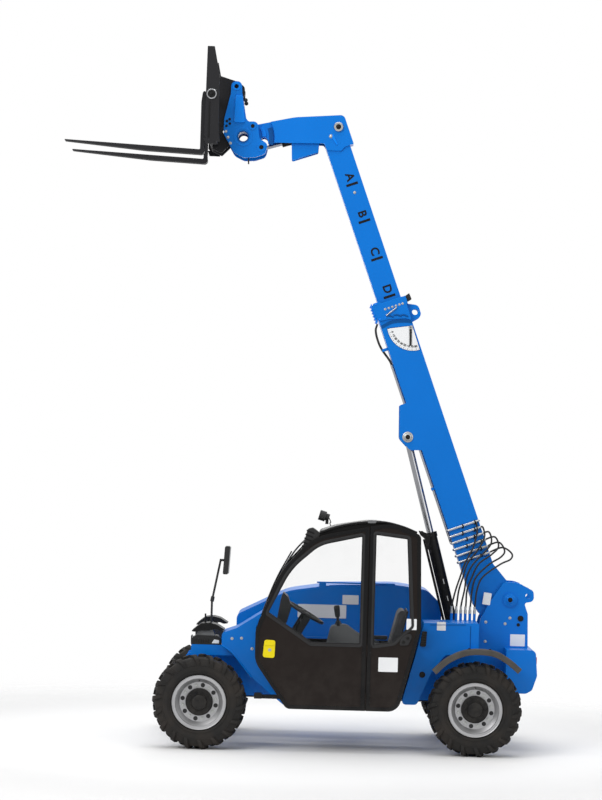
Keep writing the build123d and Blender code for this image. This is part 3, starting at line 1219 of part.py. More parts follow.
hood_rows = [
    (front + 262, HOOD_SEAM_Z, 0),
    (front + 262, 1052, 60),
    (front + 700, 1270, 500),
    (front + 1100, 1332, 900),
    (rear - 640, 1346, 900),
    (rear - 370, 1306, 120),
    (rear - 242, 1183, 60),
    (rear - 242, HOOD_SEAM_Z, 0),
]
POD_INNER_X = HOOD_INNER_X + POD_WALL
HOOD_EDGE_X = POD_INNER_X + MOVING_GAP
HOOD_PIN_RADIUS = POD_WALL / 2
HOOD_PIN_X = HOOD_INNER_X + HOOD_PIN_RADIUS
GRILLE_SLOTS = 9
with BuildPart() as engine_pod:
    pod_rows = [
        (front + 600, 395, 80),
        (rear - 600, 395, 80),
        (rear - 470, 560, 60),
        (rear - 380, HOOD_SEAM_Z - PANEL_GAP, 0),
        (front + 470, HOOD_SEAM_Z - PANEL_GAP, 0),
        (front + 470, 620, 80),
    ]
    plate(pod_rows, -HOOD_OUTER_X, -HOOD_INNER_X)
    extrude(
        outline(pod_rows, -HOOD_OUTER_X + POD_WALL, grow=-POD_WALL),
        amount=HOOD_OUTER_X - HOOD_INNER_X - 2 * POD_WALL,
        mode=Mode.SUBTRACT,
    )
    block(
        (-HOOD_OUTER_X + POD_WALL, -POD_INNER_X),
        (front + 470 + POD_WALL, rear - 420),
        (HOOD_SEAM_Z - 100, HOOD_SEAM_Z + 50),
        mode=Mode.SUBTRACT,
    )
    # Cooling slots in the outer wall.
    for k in range(GRILLE_SLOTS):
        slot_y = front + 780 + 62 * k
        block(
            (-HOOD_OUTER_X - 10, -HOOD_OUTER_X + POD_WALL + 10),
            (slot_y, slot_y + 30),
            (560, 820),
            mode=Mode.SUBTRACT,
        )
    # Fixed wall beside the boom, with the hood's hinge bar on two stands.
    extrude(outline(hood_rows, -POD_INNER_X, grow=-8), amount=POD_WALL)
    block((-POD_INNER_X, -HOOD_INNER_X), (front + 490, rear - 400), (HOOD_SEAM_Z - 20, HOOD_SEAM_Z + 40))
    stands = (front + 1000, rear - 700)
    for y in stands:
        block((-POD_INNER_X, -HOOD_INNER_X), (y - 30, y + 30), (HOOD_PIN_Z - 80, HOOD_PIN_Z))
    with Locations((-HOOD_PIN_X, stands[0] - 50, HOOD_PIN_Z)):
        Cylinder(
            HOOD_PIN_RADIUS,
            stands[1] - stands[0] + 100,
            rotation=(-90, 0, 0),
            align=(Align.CENTER, Align.CENTER, Align.MIN),
        )
save(engine_pod.part, "engine_pod")

with BuildPart() as engine_hood:
    plate(hood_rows, -HOOD_OUTER_X, -HOOD_EDGE_X)
    outer_edges = engine_hood.edges().filter_by_position(Axis.X, -HOOD_OUTER_X - 1, -HOOD_OUTER_X + 1)
    fillet(outer_edges.filter_by(lambda e: e.center().Z > HOOD_SEAM_Z + 1), HOOD_EDGE_RADIUS)
    # Open below and towards the fixed wall.
    skin = HOOD_SHELL + 10
    extrude(
        outline(hood_rows, -HOOD_OUTER_X + skin, grow=-skin),
        amount=HOOD_OUTER_X,
        mode=Mode.SUBTRACT,
    )
    block(
        (-HOOD_OUTER_X + skin, 0),
        (front + 262 + skin, rear - 242 - skin),
        (HOOD_SEAM_Z - 20, HOOD_SEAM_Z + 60),
        mode=Mode.SUBTRACT,
    )
save(engine_hood.part, "engine_hood")

# ---- Mirror and work light ------------------------------------------------------------------
MIRROR_X = 440.0
with BuildPart() as mirror:
    mirror_points = [(front + 68, 946), (front + 68, 1201), (front + 133, 1551)]
    for (y0, z0), (y1, z1) in zip(mirror_points, mirror_points[1:]):
        length = hypot(y1 - y0, z1 - z0)
        arm = leaning_plane(y0, z0, (y1 - y0) / length, (z1 - z0) / length)
        rod_along(arm, -4, length + 4, 9, x_at=MIRROR_X)
    head_rows = [
        (front + 154, 1429, 12),
        (front + 198, 1429, 12),
        (front + 211, 1664, 12),
        (front + 167, 1664, 12),
    ]
    plate(head_rows, MIRROR_X - 75, MIRROR_X + 75)
    block((MIRROR_X - 9, MIRROR_X + 9), (front + 125, front + 172), (1535, 1555))
save(mirror.part, "mirror")

with BuildPart() as work_light:
    light_y, light_z = nose + 560, 1925
    foot_z = light_z - 45
    block((CAB_OUTER_X - 160, CAB_OUTER_X - 130), (light_y - 14, light_y + 12), (foot_z, light_z))
    lamp = leaning_plane(light_y - 60, light_z + 30, 0.96, -0.28)
    rod_along(lamp, 0, 50, 42, x_at=CAB_OUTER_X - 145)
    rod_along(lamp, 50, 80, 30, x_at=CAB_OUTER_X - 145)
save(work_light.part, "work_light")

# ---- Hydraulic lines ------------------------------------------------------------------------
PIPE_X = HALF_OUTER + PIPE_RADIUS + PAD_GAP
PIPE_ACROSS = OUTER_UNDER - PIPE_RADIUS - PAD_GAP
PIPE_TOP = OUTER_TOP - 45


def bent(points, radius, bend):
    """A round line through 3-D points, with every corner bent."""
    with BuildLine() as path:
        FilletPolyline(*points, radius=bend)
    with BuildSketch(Plane(origin=points[0], z_dir=path.line % 0)) as section:
        Circle(radius)
    sweep(section.sketch, path=path.line)


with BuildPart() as boom_pipes:
    for k in range(HOSE_COUNT):
        along = PIPE_FIRST_ALONG + PIPE_PITCH * (HOSE_COUNT - 1 - k)
        # The three further pipes run on under the tube to its mouth, the others turn into it.
        runs_on = k < 3
        x_under = 78 - 26 * k if runs_on else 84
        path_rows = [(PIPE_X, PIPE_TOP), (PIPE_X, PIPE_ACROSS), (x_under, PIPE_ACROSS)]
        points = [(x, *place(BOOM, along, across)) for x, across in path_rows]
        if runs_on:
            points.append((x_under, *place(BOOM, MOUTH - COLLAR_LENGTH - 10, PIPE_ACROSS)))
        bent(points, PIPE_RADIUS, 14)
save(boom_pipes.part, "boom_pipes")

with BuildPart() as hoses:
    # Each hose rises from its fitting, leans back and loops over to its pipe's upper end.
    for k, (reach, rise) in enumerate(HOSE_LOOPS):
        along = PIPE_FIRST_ALONG + PIPE_PITCH * (HOSE_COUNT - 1 - k)
        fitting_y = rear + FITTINGS_AHEAD + FITTING_PITCH * k
        end = (PIPE_X, *place(BOOM, along, PIPE_TOP + 4))
        turn = (PIPE_X + 12, *place(BOOM, along, PIPE_TOP + reach))
        y_back, z_back = turn[1] + 4, turn[2] - rise
        points = [
            (FITTING_X, fitting_y, FITTING_TOP_Z + 1),
            (FITTING_X, fitting_y + 10, FITTING_TOP_Z + 130),
            (FITTING_X - 45, y_back, z_back),
            turn,
            end,
        ]
        bent(points, HOSE_RADIUS, [60, 60, 0.3 * min(reach, rise)])
save(hoses.part, "hoses")
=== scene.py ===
"""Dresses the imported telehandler: finishes on its CAD nodes and the small pieces on them."""
import json
import math

import bpy
import numpy as np
from mathutils import Matrix, Vector


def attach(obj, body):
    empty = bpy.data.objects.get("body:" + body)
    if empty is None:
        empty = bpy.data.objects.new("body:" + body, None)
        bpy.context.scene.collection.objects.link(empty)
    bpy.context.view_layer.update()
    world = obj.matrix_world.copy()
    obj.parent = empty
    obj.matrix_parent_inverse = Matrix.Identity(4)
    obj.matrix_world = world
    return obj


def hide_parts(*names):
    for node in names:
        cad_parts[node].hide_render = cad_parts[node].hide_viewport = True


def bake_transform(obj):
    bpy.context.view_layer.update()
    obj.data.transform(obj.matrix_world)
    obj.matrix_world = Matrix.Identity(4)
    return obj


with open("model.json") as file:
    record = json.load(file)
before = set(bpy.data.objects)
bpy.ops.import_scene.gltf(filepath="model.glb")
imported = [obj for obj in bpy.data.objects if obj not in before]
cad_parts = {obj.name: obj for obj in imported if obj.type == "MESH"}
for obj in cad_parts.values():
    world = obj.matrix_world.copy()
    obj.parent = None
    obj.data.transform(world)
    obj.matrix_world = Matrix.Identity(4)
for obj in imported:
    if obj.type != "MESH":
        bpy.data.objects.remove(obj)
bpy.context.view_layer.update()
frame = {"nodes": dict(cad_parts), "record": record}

bl_info = {
    "name": "Telehandler dressing",
    "version": (1, 0, 0),
    "blender": (4, 5, 0),
    "location": "View3D > Sidebar > Telehandler",
    "description": "Adds finishes and small pieces to the packed telehandler",
    "category": "Object",
}

# ---- Places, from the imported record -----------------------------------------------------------
JOINTS = {joint["name"]: joint for joint in frame["record"]["behaviour"]["joints"]}
PIVOT = np.array(JOINTS["boom_lift"]["pos_m"])
HEAD = np.array(JOINTS["fork_tilt"]["pos_m"])
LIFT_BASE = np.array(JOINTS["lift_barrel_swing"]["pos_m"])
FRONT_Y = JOINTS["roll_front_left"]["pos_m"][1]
REAR_Y = JOINTS["roll_rear_left"]["pos_m"][1]
ALONG = np.array(JOINTS["boom_extension"]["axis"])
ALONG = ALONG / np.linalg.norm(ALONG)
LEFT = np.array([1.0, 0, 0])
ACROSS = np.cross(ALONG, LEFT)          # square to the boom, towards its upper side
SIDES = ((1, "left"), (-1, "right"))


def at(behind, up, x=0.0):
    """A point behind the front axle by one length and above the floor by another."""
    return np.array([x, FRONT_Y + behind, up])


def on_boom(along, across, x=0.0):
    """The pivot plus a length along the boom and a length square to it."""
    return PIVOT + along * ALONG + across * ACROSS + np.array([x, 0, 0])


def at_head(behind, up, x=0.0):
    """A point behind the fork head's pivot by one length and above it by another."""
    return HEAD + np.array([x, behind, up])


# ---- Sizes that follow the CAD ----------------------------------------------------------------
TUBE_TOP, TUBE_UNDER = -0.036, -0.306    # outer tube, square to the boom from the pivot
MOUTH_ALONG = 2.745                      # outer tube's end, along the boom
BOOM_X, INNER_X, NECK_X = 0.110, 0.078, 0.090
WALL_X, TANK_X, CAB_X = 0.170, 0.600, 0.868
COUPLER_X, CARRIAGE_X = 0.142, 0.470
HOOD_X, HOOD_INNER_X = -0.840, -0.1982
CAB_MIDDLE_X = 0.530
TYRE_HALF, TREAD_RADIUS, LUG, LUGS = 0.132, 0.3635, 0.024, 18
LIFT_PIN = on_boom(1.589, -0.385)
LIFT_FACE = 0.0505                       # barrel's side, with a thin strip's height
SHARP_ANGLE, BEVEL_ANGLE = math.radians(38), math.radians(40)
RIM_LIFT = -0.020                        # steering wheel's rim, along its axis from the joint
PIPE_COUNT, PIPE_FIRST, PIPE_PITCH = 6, 0.435, 0.0575
PIPE_RADIUS, PIPE_BEND = 0.0105, 0.016
HOSE_FIRST, HOSE_PITCH = 2.098, 0.0388   # hose feet on the chassis, behind the front axle
DIAL_RADIUS, DIAL_START = 0.222, 200.0
DOOR_GLASS = [                           # behind the front axle, height, corner radius
    (0.534, 1.140, 0.020), (0.721, 1.515, 0.600), (0.956, 1.722, 0.330),
    (1.324, 1.806, 0.020), (1.324, 0.893, 0.020), (0.910, 0.893, 0.040),
]
QUARTER_GLASS = [
    (1.412, 1.822, 0.020), (1.697, 1.790, 0.020), (1.740, 1.060, 0.030),
    (1.595, 0.915, 0.060), (1.412, 0.886, 0.020),
]
DOOR_OUTLINE = [
    (0.720, 0.354, 0.060), (0.450, 0.735, 0.200), (0.450, 1.000, 0.200), (0.645, 1.488, 0.700),
    (0.909, 1.780, 0.420), (1.366, 1.8735, 0.010), (1.366, 0.354, 0.010),
]
QUARTER_OUTLINE = [
    (1.374, 0.354, 0.010), (1.374, 1.8745, 0.010), (1.554, 1.908, 0.300), (1.795, 1.812, 0.045),
    (1.815, 1.045, 0.030), (1.765, 0.830, 0.060), (1.640, 0.354, 0.110),
]
HOSE_LINES = [                           # behind the front axle, height, x
    [(2.129, 1.34, 0.225), (2.166, 1.453, 0.205), (2.203, 1.564, 0.185),
     (2.271, 1.70, 0.155), (2.303, 1.83, 0.135), (2.296, 1.905, 0.127)],
    [(2.156, 1.34, 0.225), (2.190, 1.453, 0.210), (2.225, 1.564, 0.190),
     (2.310, 1.68, 0.170), (2.366, 1.79, 0.150), (2.352, 1.873, 0.132)],
    [(2.203, 1.34, 0.225), (2.220, 1.453, 0.215), (2.275, 1.564, 0.200),
     (2.375, 1.67, 0.180), (2.426, 1.750, 0.160), (2.405, 1.835, 0.135)],
    [(2.225, 1.34, 0.228), (2.265, 1.453, 0.215), (2.320, 1.564, 0.205),
     (2.430, 1.648, 0.190), (2.487, 1.715, 0.165), (2.455, 1.795, 0.138)],
    [(2.267, 1.34, 0.230), (2.300, 1.453, 0.220), (2.410, 1.564, 0.205),
     (2.505, 1.625, 0.190), (2.540, 1.680, 0.165), (2.490, 1.750, 0.138)],
    [(2.308, 1.34, 0.232), (2.355, 1.453, 0.222), (2.500, 1.564, 0.208),
     (2.590, 1.610, 0.190), (2.600, 1.660, 0.165), (2.520, 1.706, 0.138)],
]
LAMPS = [                                # name, place, size, watts
    ("key_lamp", (9.0, -7.0, 9.0), 7.0, 860.0),
    ("fill_lamp", (9.0, 8.0, 5.0), 8.0, 200.0),
    ("top_lamp", (0.0, 0.0, 12.0), 9.0, 760.0),
    ("back_lamp", (-9.0, 2.0, 7.0), 8.0, 300.0),
]


# ---- Surfaces ---------------------------------------------------------------------------------
def unit(rows):
    """Each row scaled to a length of 1."""
    return rows / np.linalg.norm(rows, axis=-1, keepdims=True)


def grid_faces(rows, columns, close_rows=False, close_columns=False):
    """Quads between neighbouring points of a rows by columns grid, numbered row after row."""
    i, j = np.meshgrid(
        np.arange(rows if close_rows else rows - 1),
        np.arange(columns if close_columns else columns - 1), indexing="ij",
    )
    i_next, j_next = (i + 1) % rows, (j + 1) % columns
    quads = [i * columns + j, i_next * columns + j, i_next * columns + j_next, i * columns + j_next]
    return np.stack(quads, -1).reshape(-1, 4)


def tube_faces(rows, columns):
    """Faces over rows of closed rings, with a cap on the first and the last."""
    faces = [list(face) for face in grid_faces(rows, columns, close_columns=True)]
    ends = np.arange(rows * columns).reshape(rows, columns)[[0, -1]].tolist()
    return [*faces, ends[0][::-1], ends[1]]


def frame_of(axis):
    """Two unit vectors square to an axis and to each other."""
    axis = unit(np.asarray(axis, float))
    other = np.array([0, 0, 1.0]) if abs(axis[2]) < 0.9 else np.array([0, 1.0, 0])
    first = unit(np.cross(other, axis))
    return axis, first, np.cross(axis, first)


def turned(centres, axis, profile, sides=32):
    """Surface of revolution: point = centre + h axis + r (cos a first + sin a second).

    profile is rows of (h, r). centres may be many, each with its own copy.
    """
    axis, first, second = frame_of(axis)
    profile = np.asarray(profile, float)
    ring = circle(1.0, sides) @ [first, second]
    shape = profile[:, 0, None, None] * axis + profile[:, 1, None, None] * ring
    centres = np.atleast_2d(centres)
    points = (centres[:, None, None, :] + shape[None]).reshape(-1, 3)
    quads = grid_faces(len(profile), sides, close_columns=True)[:, ::-1]
    firsts = np.arange(len(centres)) * len(profile) * sides
    return points, (quads[None] + firsts[:, None, None]).reshape(-1, 4)


def cleaned(points, faces, merge=1e-5):
    """The same mesh with doubled points merged, and faces that lost a corner mended or dropped."""
    keys = np.round(np.asarray(points) / merge).astype(np.int64)
    _, first, inverse = np.unique(keys, axis=0, return_index=True, return_inverse=True)
    kept = []
    for face in inverse.reshape(-1)[np.asarray(faces)]:
        corners = [c for k, c in enumerate(face) if c != face[k - 1]]
        if len(set(corners)) > 2:
            kept.append(corners)
    return np.asarray(points)[first], kept


def swept(path, section, up=LEFT):
    """A profile carried along a path: point = path(s) + a side(s) + b normal(s).

    side is the path's direction crossed with up, and normal is side crossed with the direction.
    """
    path, section = np.asarray(path, float), np.asarray(section, float)
    direction = unit(np.gradient(path, axis=0))
    side = unit(np.cross(direction, np.asarray(up, float)))
    normal = np.cross(side, direction)
    points = path[:, None] + section[None, :, :1] * side[:, None] + section[None, :, 1:] * normal[:, None]
    return points.reshape(-1, 3), tube_faces(len(path), len(section))


def circle(radius, sides=14):
    """Points of a circle, going round once."""
    angle = np.linspace(0, 2 * np.pi, sides, endpoint=False)
    return radius * np.stack([np.cos(angle), np.sin(angle)], -1)


def curved(knots, steps=12):
    """A smooth line through its knots: a Catmull-Rom cubic on each span."""
    knots = np.asarray(knots, float)
    padded = np.vstack([2 * knots[0] - knots[1], knots, 2 * knots[-1] - knots[-2]])
    t = np.linspace(0, 1, steps, endpoint=False)[:, None]
    p0, p1, p2, p3 = (padded[k:len(padded) - 3 + k, None] for k in range(4))
    line = 0.5 * (
        2 * p1 + (p2 - p0) * t + (2 * p0 - 5 * p1 + 4 * p2 - p3) * t**2
        + (3 * p1 - p0 - 3 * p2 + p3) * t**3
    )
    return np.vstack([line.reshape(-1, knots.shape[1]), knots[-1]])


def rounded(corners, radius, steps=5):
    """A closed outline with every corner replaced by a quadratic curve of about a radius."""
    corners = np.asarray(corners, float)
    curve_ends = []
    for other in (np.roll(corners, 1, 0), np.roll(corners, -1, 0)):
        run = other - corners
        reach = np.minimum(radius, 0.48 * np.linalg.norm(run, axis=1))[:, None]
        curve_ends.append((corners + unit(run) * reach)[:, None])
    start, end = curve_ends
    t = np.linspace(0, 1, steps)[None, :, None]
    curve = (1 - t) ** 2 * start + 2 * t * (1 - t) * corners[:, None] + t**2 * end
    return curve.reshape(-1, corners.shape[1])


def bent(points, radius, steps=6):
    """An open path whose inner corners are rounded."""
    inner = rounded(points, radius, steps).reshape(len(points), steps, -1)[1:-1]
    return np.vstack([points[:1], inner.reshape(-1, points.shape[1]), points[-1:]])


def filleted(rows, grow=0.0, per_arc=10):
    """A closed outline of (y, z) with true arcs at its corners, from rows of (behind, up, radius).

    grow moves every side outwards by that length, as an offset does.
    """
    rows = np.asarray(rows, float)
    corners = rows[:, :2] + [FRONT_Y, 0]
    after = unit(np.roll(corners, -1, 0) - corners)
    before = np.roll(after, 1, 0)
    way = np.sign(np.sum(np.cross(corners, np.roll(corners, -1, 0))))
    turn = np.arctan2(np.cross(before, after), np.sum(before * after, axis=1))
    half = np.tan(np.abs(turn) / 2)
    normal = way * np.column_stack([before[:, 1], -before[:, 0]])
    moved = corners + grow * (normal + before * (way * np.tan(turn / 2))[:, None])
    length = np.linalg.norm(np.roll(moved, -1, 0) - moved, axis=1)
    radius = np.maximum(rows[:, 2] + grow * np.sign(turn * way), 0.0005)
    radius = np.minimum(radius, 0.499 * np.minimum(length, np.roll(length, 1)) / np.maximum(half, 1e-6))
    start = moved - before * (radius * half)[:, None]
    square = np.column_stack([-before[:, 1], before[:, 0]])
    centre = start + (np.sign(turn) * radius)[:, None] * square
    t = np.linspace(0, 1, per_arc)[None, :] * turn[:, None]
    arm = start - centre
    x = arm[:, :1] * np.cos(t) - arm[:, 1:] * np.sin(t)
    y = arm[:, :1] * np.sin(t) + arm[:, 1:] * np.cos(t)
    return (centre[:, None, :] + np.stack([x, y], -1)).reshape(-1, 2)


def oriented(points, faces):
    """The same closed mesh with its faces outwards, found from the sign of its volume."""
    points = np.asarray(points, float)
    volume = 0.0
    for face in faces:
        for a, b in zip(face[1:-1], face[2:]):
            volume += np.dot(points[face[0]], np.cross(points[a], points[b]))
    return points, [list(f)[::-1] if volume < 0 else list(f) for f in faces]


def ring_band(rows, inner_grow, outer_grow, x_in, x_out, crown):
    """A closed band round an outline, between two offsets of it, with a crowned outer face."""
    inner, outer = filleted(rows, inner_grow), filleted(rows, outer_grow)
    middle = (inner + outer) / 2
    rings = [(inner, x_in), (inner, x_out), (middle, x_out + crown), (outer, x_out), (outer, x_in)]
    points = np.vstack([np.column_stack([np.full(len(ring), x), ring]) for ring, x in rings])
    return oriented(points, grid_faces(len(rings), len(inner), close_rows=True, close_columns=True))


def plate(outline, x_in, x_out):
    """A flat outline of (y, z) rows given thickness along X."""
    outline = np.asarray(outline, float)
    y, z = outline.T
    if np.sum(y * np.roll(z, -1) - z * np.roll(y, -1)) < 0:
        outline = outline[::-1]
    count = len(outline)
    points = np.vstack([np.column_stack([np.full(count, x), outline]) for x in sorted((x_in, x_out))])
    faces = [[k, (k + 1) % count, count + (k + 1) % count, count + k] for k in range(count)]
    return points, [*faces, list(range(count))[::-1], list(range(count, 2 * count))]


def brick(low, high):
    """A box between two corners."""
    (x0, y0, z0), (x1, y1, z1) = low, high
    return plate([(y0, z0), (y1, z0), (y1, z1), (y0, z1)], x0, x1)


def label(behind, up, width, height, x, side=1, lean=0.0):
    """A blank plate with a rounded rim; lean turns it in its own plane, in degrees."""
    c, s = math.cos(math.radians(lean)), math.sin(math.radians(lean))
    corners = np.array([(-1, -1), (1, -1), (1, 1), (-1, 1)]) * (width / 2, height / 2)
    outline = corners @ [(c, s), (-s, c)] + at(behind, up)[1:]
    return plate(rounded(outline, 0.006), x, x + side * 0.0012)


def rod(start, end, radius, sides=16):
    """A straight round bar with slightly eased ends."""
    start, end = np.asarray(start, float), np.asarray(end, float)
    length = np.linalg.norm(end - start)
    ease = min(radius * 0.25, length * 0.2)
    neck = radius - ease
    profile = [(0, 0), (0, neck), (ease, radius), (length - ease, radius), (length, neck), (length, 0)]
    return cleaned(*turned(start, end - start, profile, sides))


def pipe(knots, steps, radius, sides=8, up=LEFT):
    """A round bar along a smooth line through its knots."""
    return swept(curved(knots, steps), circle(radius, sides), up)


def flat_ring(centre, axis, inner, outer, height, sides=32):
    """A flat ring with eased edges."""
    e = min(height, outer - inner) * 0.25
    profile = [
        (0, inner), (0, outer), (height - e, outer), (height, outer - e), (height, inner + e),
        (height - e, inner), (0, inner),
    ]
    return turned(centre, axis, profile, sides)


def bolt_heads(centres, axis, radius, height):
    """Six-sided heads with a turned top, each on a round washer, at many centres."""
    head = [(0, 0), (0, radius), (height * 0.85, radius), (height, radius * 0.8), (height, 0)]
    washer = [(0, 0), (0, radius * 1.45), (height * 0.2, radius * 1.4), (height * 0.2, 0)]
    return cleaned(*together(turned(centres, axis, head, 6), turned(centres, axis, washer, 16)))


def figure(text, place, right, up, size, bold=0.001):
    """Plain lettering: the font's own outline, thickened by bold, with its middle at the place."""
    curve = bpy.data.curves.new("figure", "FONT")
    curve.body, curve.size = text, size
    curve.align_x, curve.align_y = "CENTER", "CENTER"
    curve.extrude, curve.offset = 0.0006, bold
    holder = bpy.data.objects.new("figure", curve)
    bpy.context.scene.collection.objects.link(holder)
    mesh = bpy.data.meshes.new_from_object(holder.evaluated_get(bpy.context.evaluated_depsgraph_get()))
    points = place + coordinates(mesh) @ [right, up, np.cross(right, up)]
    faces = [list(polygon.vertices) for polygon in mesh.polygons]
    bpy.data.objects.remove(holder)
    bpy.data.curves.remove(curve)
    return points, faces


def together(*parts):
    """Several meshes' points and faces as one."""
    points, faces, start = [], [], 0
    for some_points, some_faces in parts:
        points.append(np.asarray(some_points, float))
        faces += [[int(k) + start for k in face] for face in some_faces]
        start += len(some_points)
    return np.vstack(points), faces


def coordinates(mesh):
    """A mesh's points as rows."""
    flat = np.empty(len(mesh.vertices) * 3)
    mesh.vertices.foreach_get("co", flat)
    return flat.reshape(-1, 3)


# ---- Pieces -----------------------------------------------------------------------------------
def piece(name, points, faces, body, finish, smooth=True, bevel=0.0, replaces=()):
    """A mesh from arrays of points and faces, riding on a body, with one finish.

    A bevel above nought rounds every sharp edge by that length.
    """
    mesh = bpy.data.meshes.new(name)
    mesh.from_pydata(np.asarray(points, float).tolist(), [], [list(f) for f in faces])
    mesh.validate()
    mesh.polygons.foreach_set("use_smooth", np.full(len(mesh.polygons), smooth))
    obj = bpy.data.objects.new(name, mesh)
    bpy.context.scene.collection.objects.link(obj)
    mesh.materials.append(FINISHES[finish])
    if bevel:
        rounding = obj.modifiers.new("rounding", "BEVEL")
        rounding.width = bevel
        rounding.segments = 2
        rounding.limit_method = "ANGLE"
        rounding.angle_limit = BEVEL_ANGLE
    if smooth:
        mesh.set_sharp_from_angle(angle=SHARP_ANGLE)
    if replaces:
        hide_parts(*replaces)
    if body:
        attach(obj, body)
    return obj


def seen(rows, radius=0.0, place=at):
    """Rows of two lengths as (y, z) corners of a side view, eased by a radius."""
    corners = np.array([place(*row)[1:] for row in rows])
    return rounded(corners, radius) if radius else corners


def spots(rows, x, place=at):
    """Rows of two lengths as points at one x."""
    return np.array([place(*row, x) for row in rows])


def bar_view(spot, along, across, low, high, half):
    """Side view of a bar by a spot, from one length to another, with a half width."""
    corners = ((low, -half), (high, -half), (high, half), (low, half))
    return [(spot + a * along + b * across)[1:] for a, b in corners]


def slab(name, rows, radius, x_in, x_out, body, finish, bevel=0.0, place=at, replaces=()):
    """A piece cut to a side view, from one x to another."""
    shape = plate(seen(rows, radius, place), x_in, x_out)
    piece(name, *shape, body, finish, False, bevel, replaces)


def lathe(name, centres, axis, profile, sides, body, finish, bevel=0.0):
    """A turned piece, from rows of (along, radius), closed on its axis at both ends."""
    rows = [(profile[0][0], 0), *profile, (profile[-1][0], 0)]
    piece(name, *cleaned(*turned(centres, axis, rows, sides)), body, finish, bevel=bevel)


def bolts(name, centres, axis, radius, height, body, finish="black_iron"):
    """A piece of bolt heads."""
    piece(name, *bolt_heads(centres, axis, radius, height), body, finish)


# ---- Finishes ---------------------------------------------------------------------------------
class Value:
    """A shader socket; maths on it adds Math nodes."""

    def __init__(self, graph, socket):
        self.graph = graph
        self.socket = socket

    def math(self, operation, first, second):
        node = self.graph.node("ShaderNodeMath", {"operation": operation}, {0: first, 1: second})
        return Value(self.graph, node.outputs[0])

    def __add__(self, other):
        return self.math("ADD", self, other)

    def __sub__(self, other):
        return self.math("SUBTRACT", self, other)

    def __rsub__(self, other):
        return self.math("SUBTRACT", other, self)

    def __mul__(self, other):
        return self.math("MULTIPLY", self, other)

    __radd__, __rmul__ = __add__, __mul__

    def over(self, edge, soft):
        """0 below the edge and 1 above it, over a soft span."""
        span = {"Value": self, "From Min": edge - soft / 2, "From Max": edge + soft / 2}
        node = self.graph.node("ShaderNodeMapRange", {"interpolation_type": "SMOOTHSTEP"}, span)
        return Value(self.graph, node.outputs[0])


class Finish:
    """A material whose shader inputs are set by name, as numbers, colours or Values."""

    def __init__(self, name, **inputs):
        self.material = bpy.data.materials.new(name)
        self.material.use_nodes = True
        self.nodes = self.material.node_tree.nodes
        self.links = self.material.node_tree.links
        self.shader = self.nodes["Principled BSDF"]
        self.place = self.nodes.new("ShaderNodeTexCoord").outputs["Object"]
        self.set(self.shader, inputs)
        self.material.diffuse_color = (*inputs.get("Base Color", (0.5,) * 3)[:3], 1)
        FINISHES[name] = self.material

    def set(self, node, inputs):
        for key, value in inputs.items():
            if isinstance(value, Value):
                self.links.new(value.socket, node.inputs[key])
            elif isinstance(value, bpy.types.NodeSocket):
                self.links.new(value, node.inputs[key])
            elif isinstance(value, (tuple, list)) and len(node.inputs[key].default_value) == 4:
                node.inputs[key].default_value = (*value, 1)[:4]
            else:
                node.inputs[key].default_value = value

    def look(self, **inputs):
        """Sets the shader's inputs, with the underscores of their names as spaces."""
        self.set(self.shader, {name.replace("_", " "): value for name, value in inputs.items()})

    def node(self, kind, settings, inputs):
        """Adds one node of a kind, with its settings set first and then its inputs."""
        node = self.nodes.new(kind)
        for key, value in settings.items():
            setattr(node, key, value)
        self.set(node, inputs)
        return node

    def noise(self, scale, detail=3.0, stretch=None):
        """Noise over the piece's own place, optionally stretched along an axis."""
        place = self.place
        if stretch:
            place = self.node("ShaderNodeMapping", {}, {"Vector": place, "Scale": stretch}).outputs[0]
        inputs = {"Vector": place, "Scale": scale, "Detail": detail, "Roughness": 0.55}
        return Value(self, self.node("ShaderNodeTexNoise", {}, inputs).outputs["Fac"])

    def bands(self, direction, scale, distortion=0.0):
        """Even bands across the piece."""
        settings = {"wave_type": "BANDS", "bands_direction": direction}
        inputs = {"Vector": self.place, "Scale": scale, "Distortion": distortion}
        return Value(self, self.node("ShaderNodeTexWave", settings, inputs).outputs["Fac"])

    def height(self):
        """How high the place lies."""
        return Value(self, self.node("ShaderNodeSeparateXYZ", {}, {0: self.place}).outputs["Z"])

    def blend(self, factor, low, high):
        """A colour between two, by a factor."""
        node = self.node("ShaderNodeMix", {"data_type": "RGBA"}, {"Factor": factor, 6: low, 7: high})
        return Value(self, node.outputs[2])

    def relief(self, height, strength, depth):
        """Sets small relief from a height."""
        inputs = {"Height": height, "Strength": strength, "Distance": depth}
        self.look(Normal=self.node("ShaderNodeBump", {}, inputs).outputs[0])


FINISHES = {}
NODE_FINISHES = {
    "lift_rod": "chrome_rod", "tilt_rod": "chrome_rod", "headlamps": "black_plastic",
    "mirror": "black_plastic", "work_light": "black_plastic", "dash": "black_plastic",
    "steering_wheel": "black_plastic",
}
DUST = (0.16, 0.145, 0.125)


def lighter(colour, by):
    """A colour scaled, kept below white."""
    return tuple(min(0.98, c * by) for c in colour)


def painted(name, colour, roughness, coat, dust):
    """Sprayed paint: faint orange peel, uneven gloss, fine scratches and dust that thickens low."""
    finish = Finish(name, **{
        "Base Color": colour, "Coat Weight": coat, "Coat Roughness": 0.12, "Specular IOR Level": 0.16,
    })
    broad = finish.noise(2.3)
    patch = finish.noise(11.0, 5.0)
    scratch = finish.noise(60.0, 2.0, stretch=(1, 9, 1)).over(0.70, 0.05)
    low = 1 - finish.height().over(0.75, 1.3)
    film = low * patch.over(0.5, 0.4) * dust + broad.over(0.66, 0.2) * (dust * 0.12)
    shade = finish.blend(broad, lighter(colour, 0.93), lighter(colour, 1.06))
    finish.look(
        Base_Color=finish.blend(film, shade, DUST),
        Roughness=patch * 0.08 + roughness - 0.04 + film * 0.3 + scratch * 0.10,
    )
    finish.relief(finish.noise(240.0, 2.0), 0.10, 0.0006)


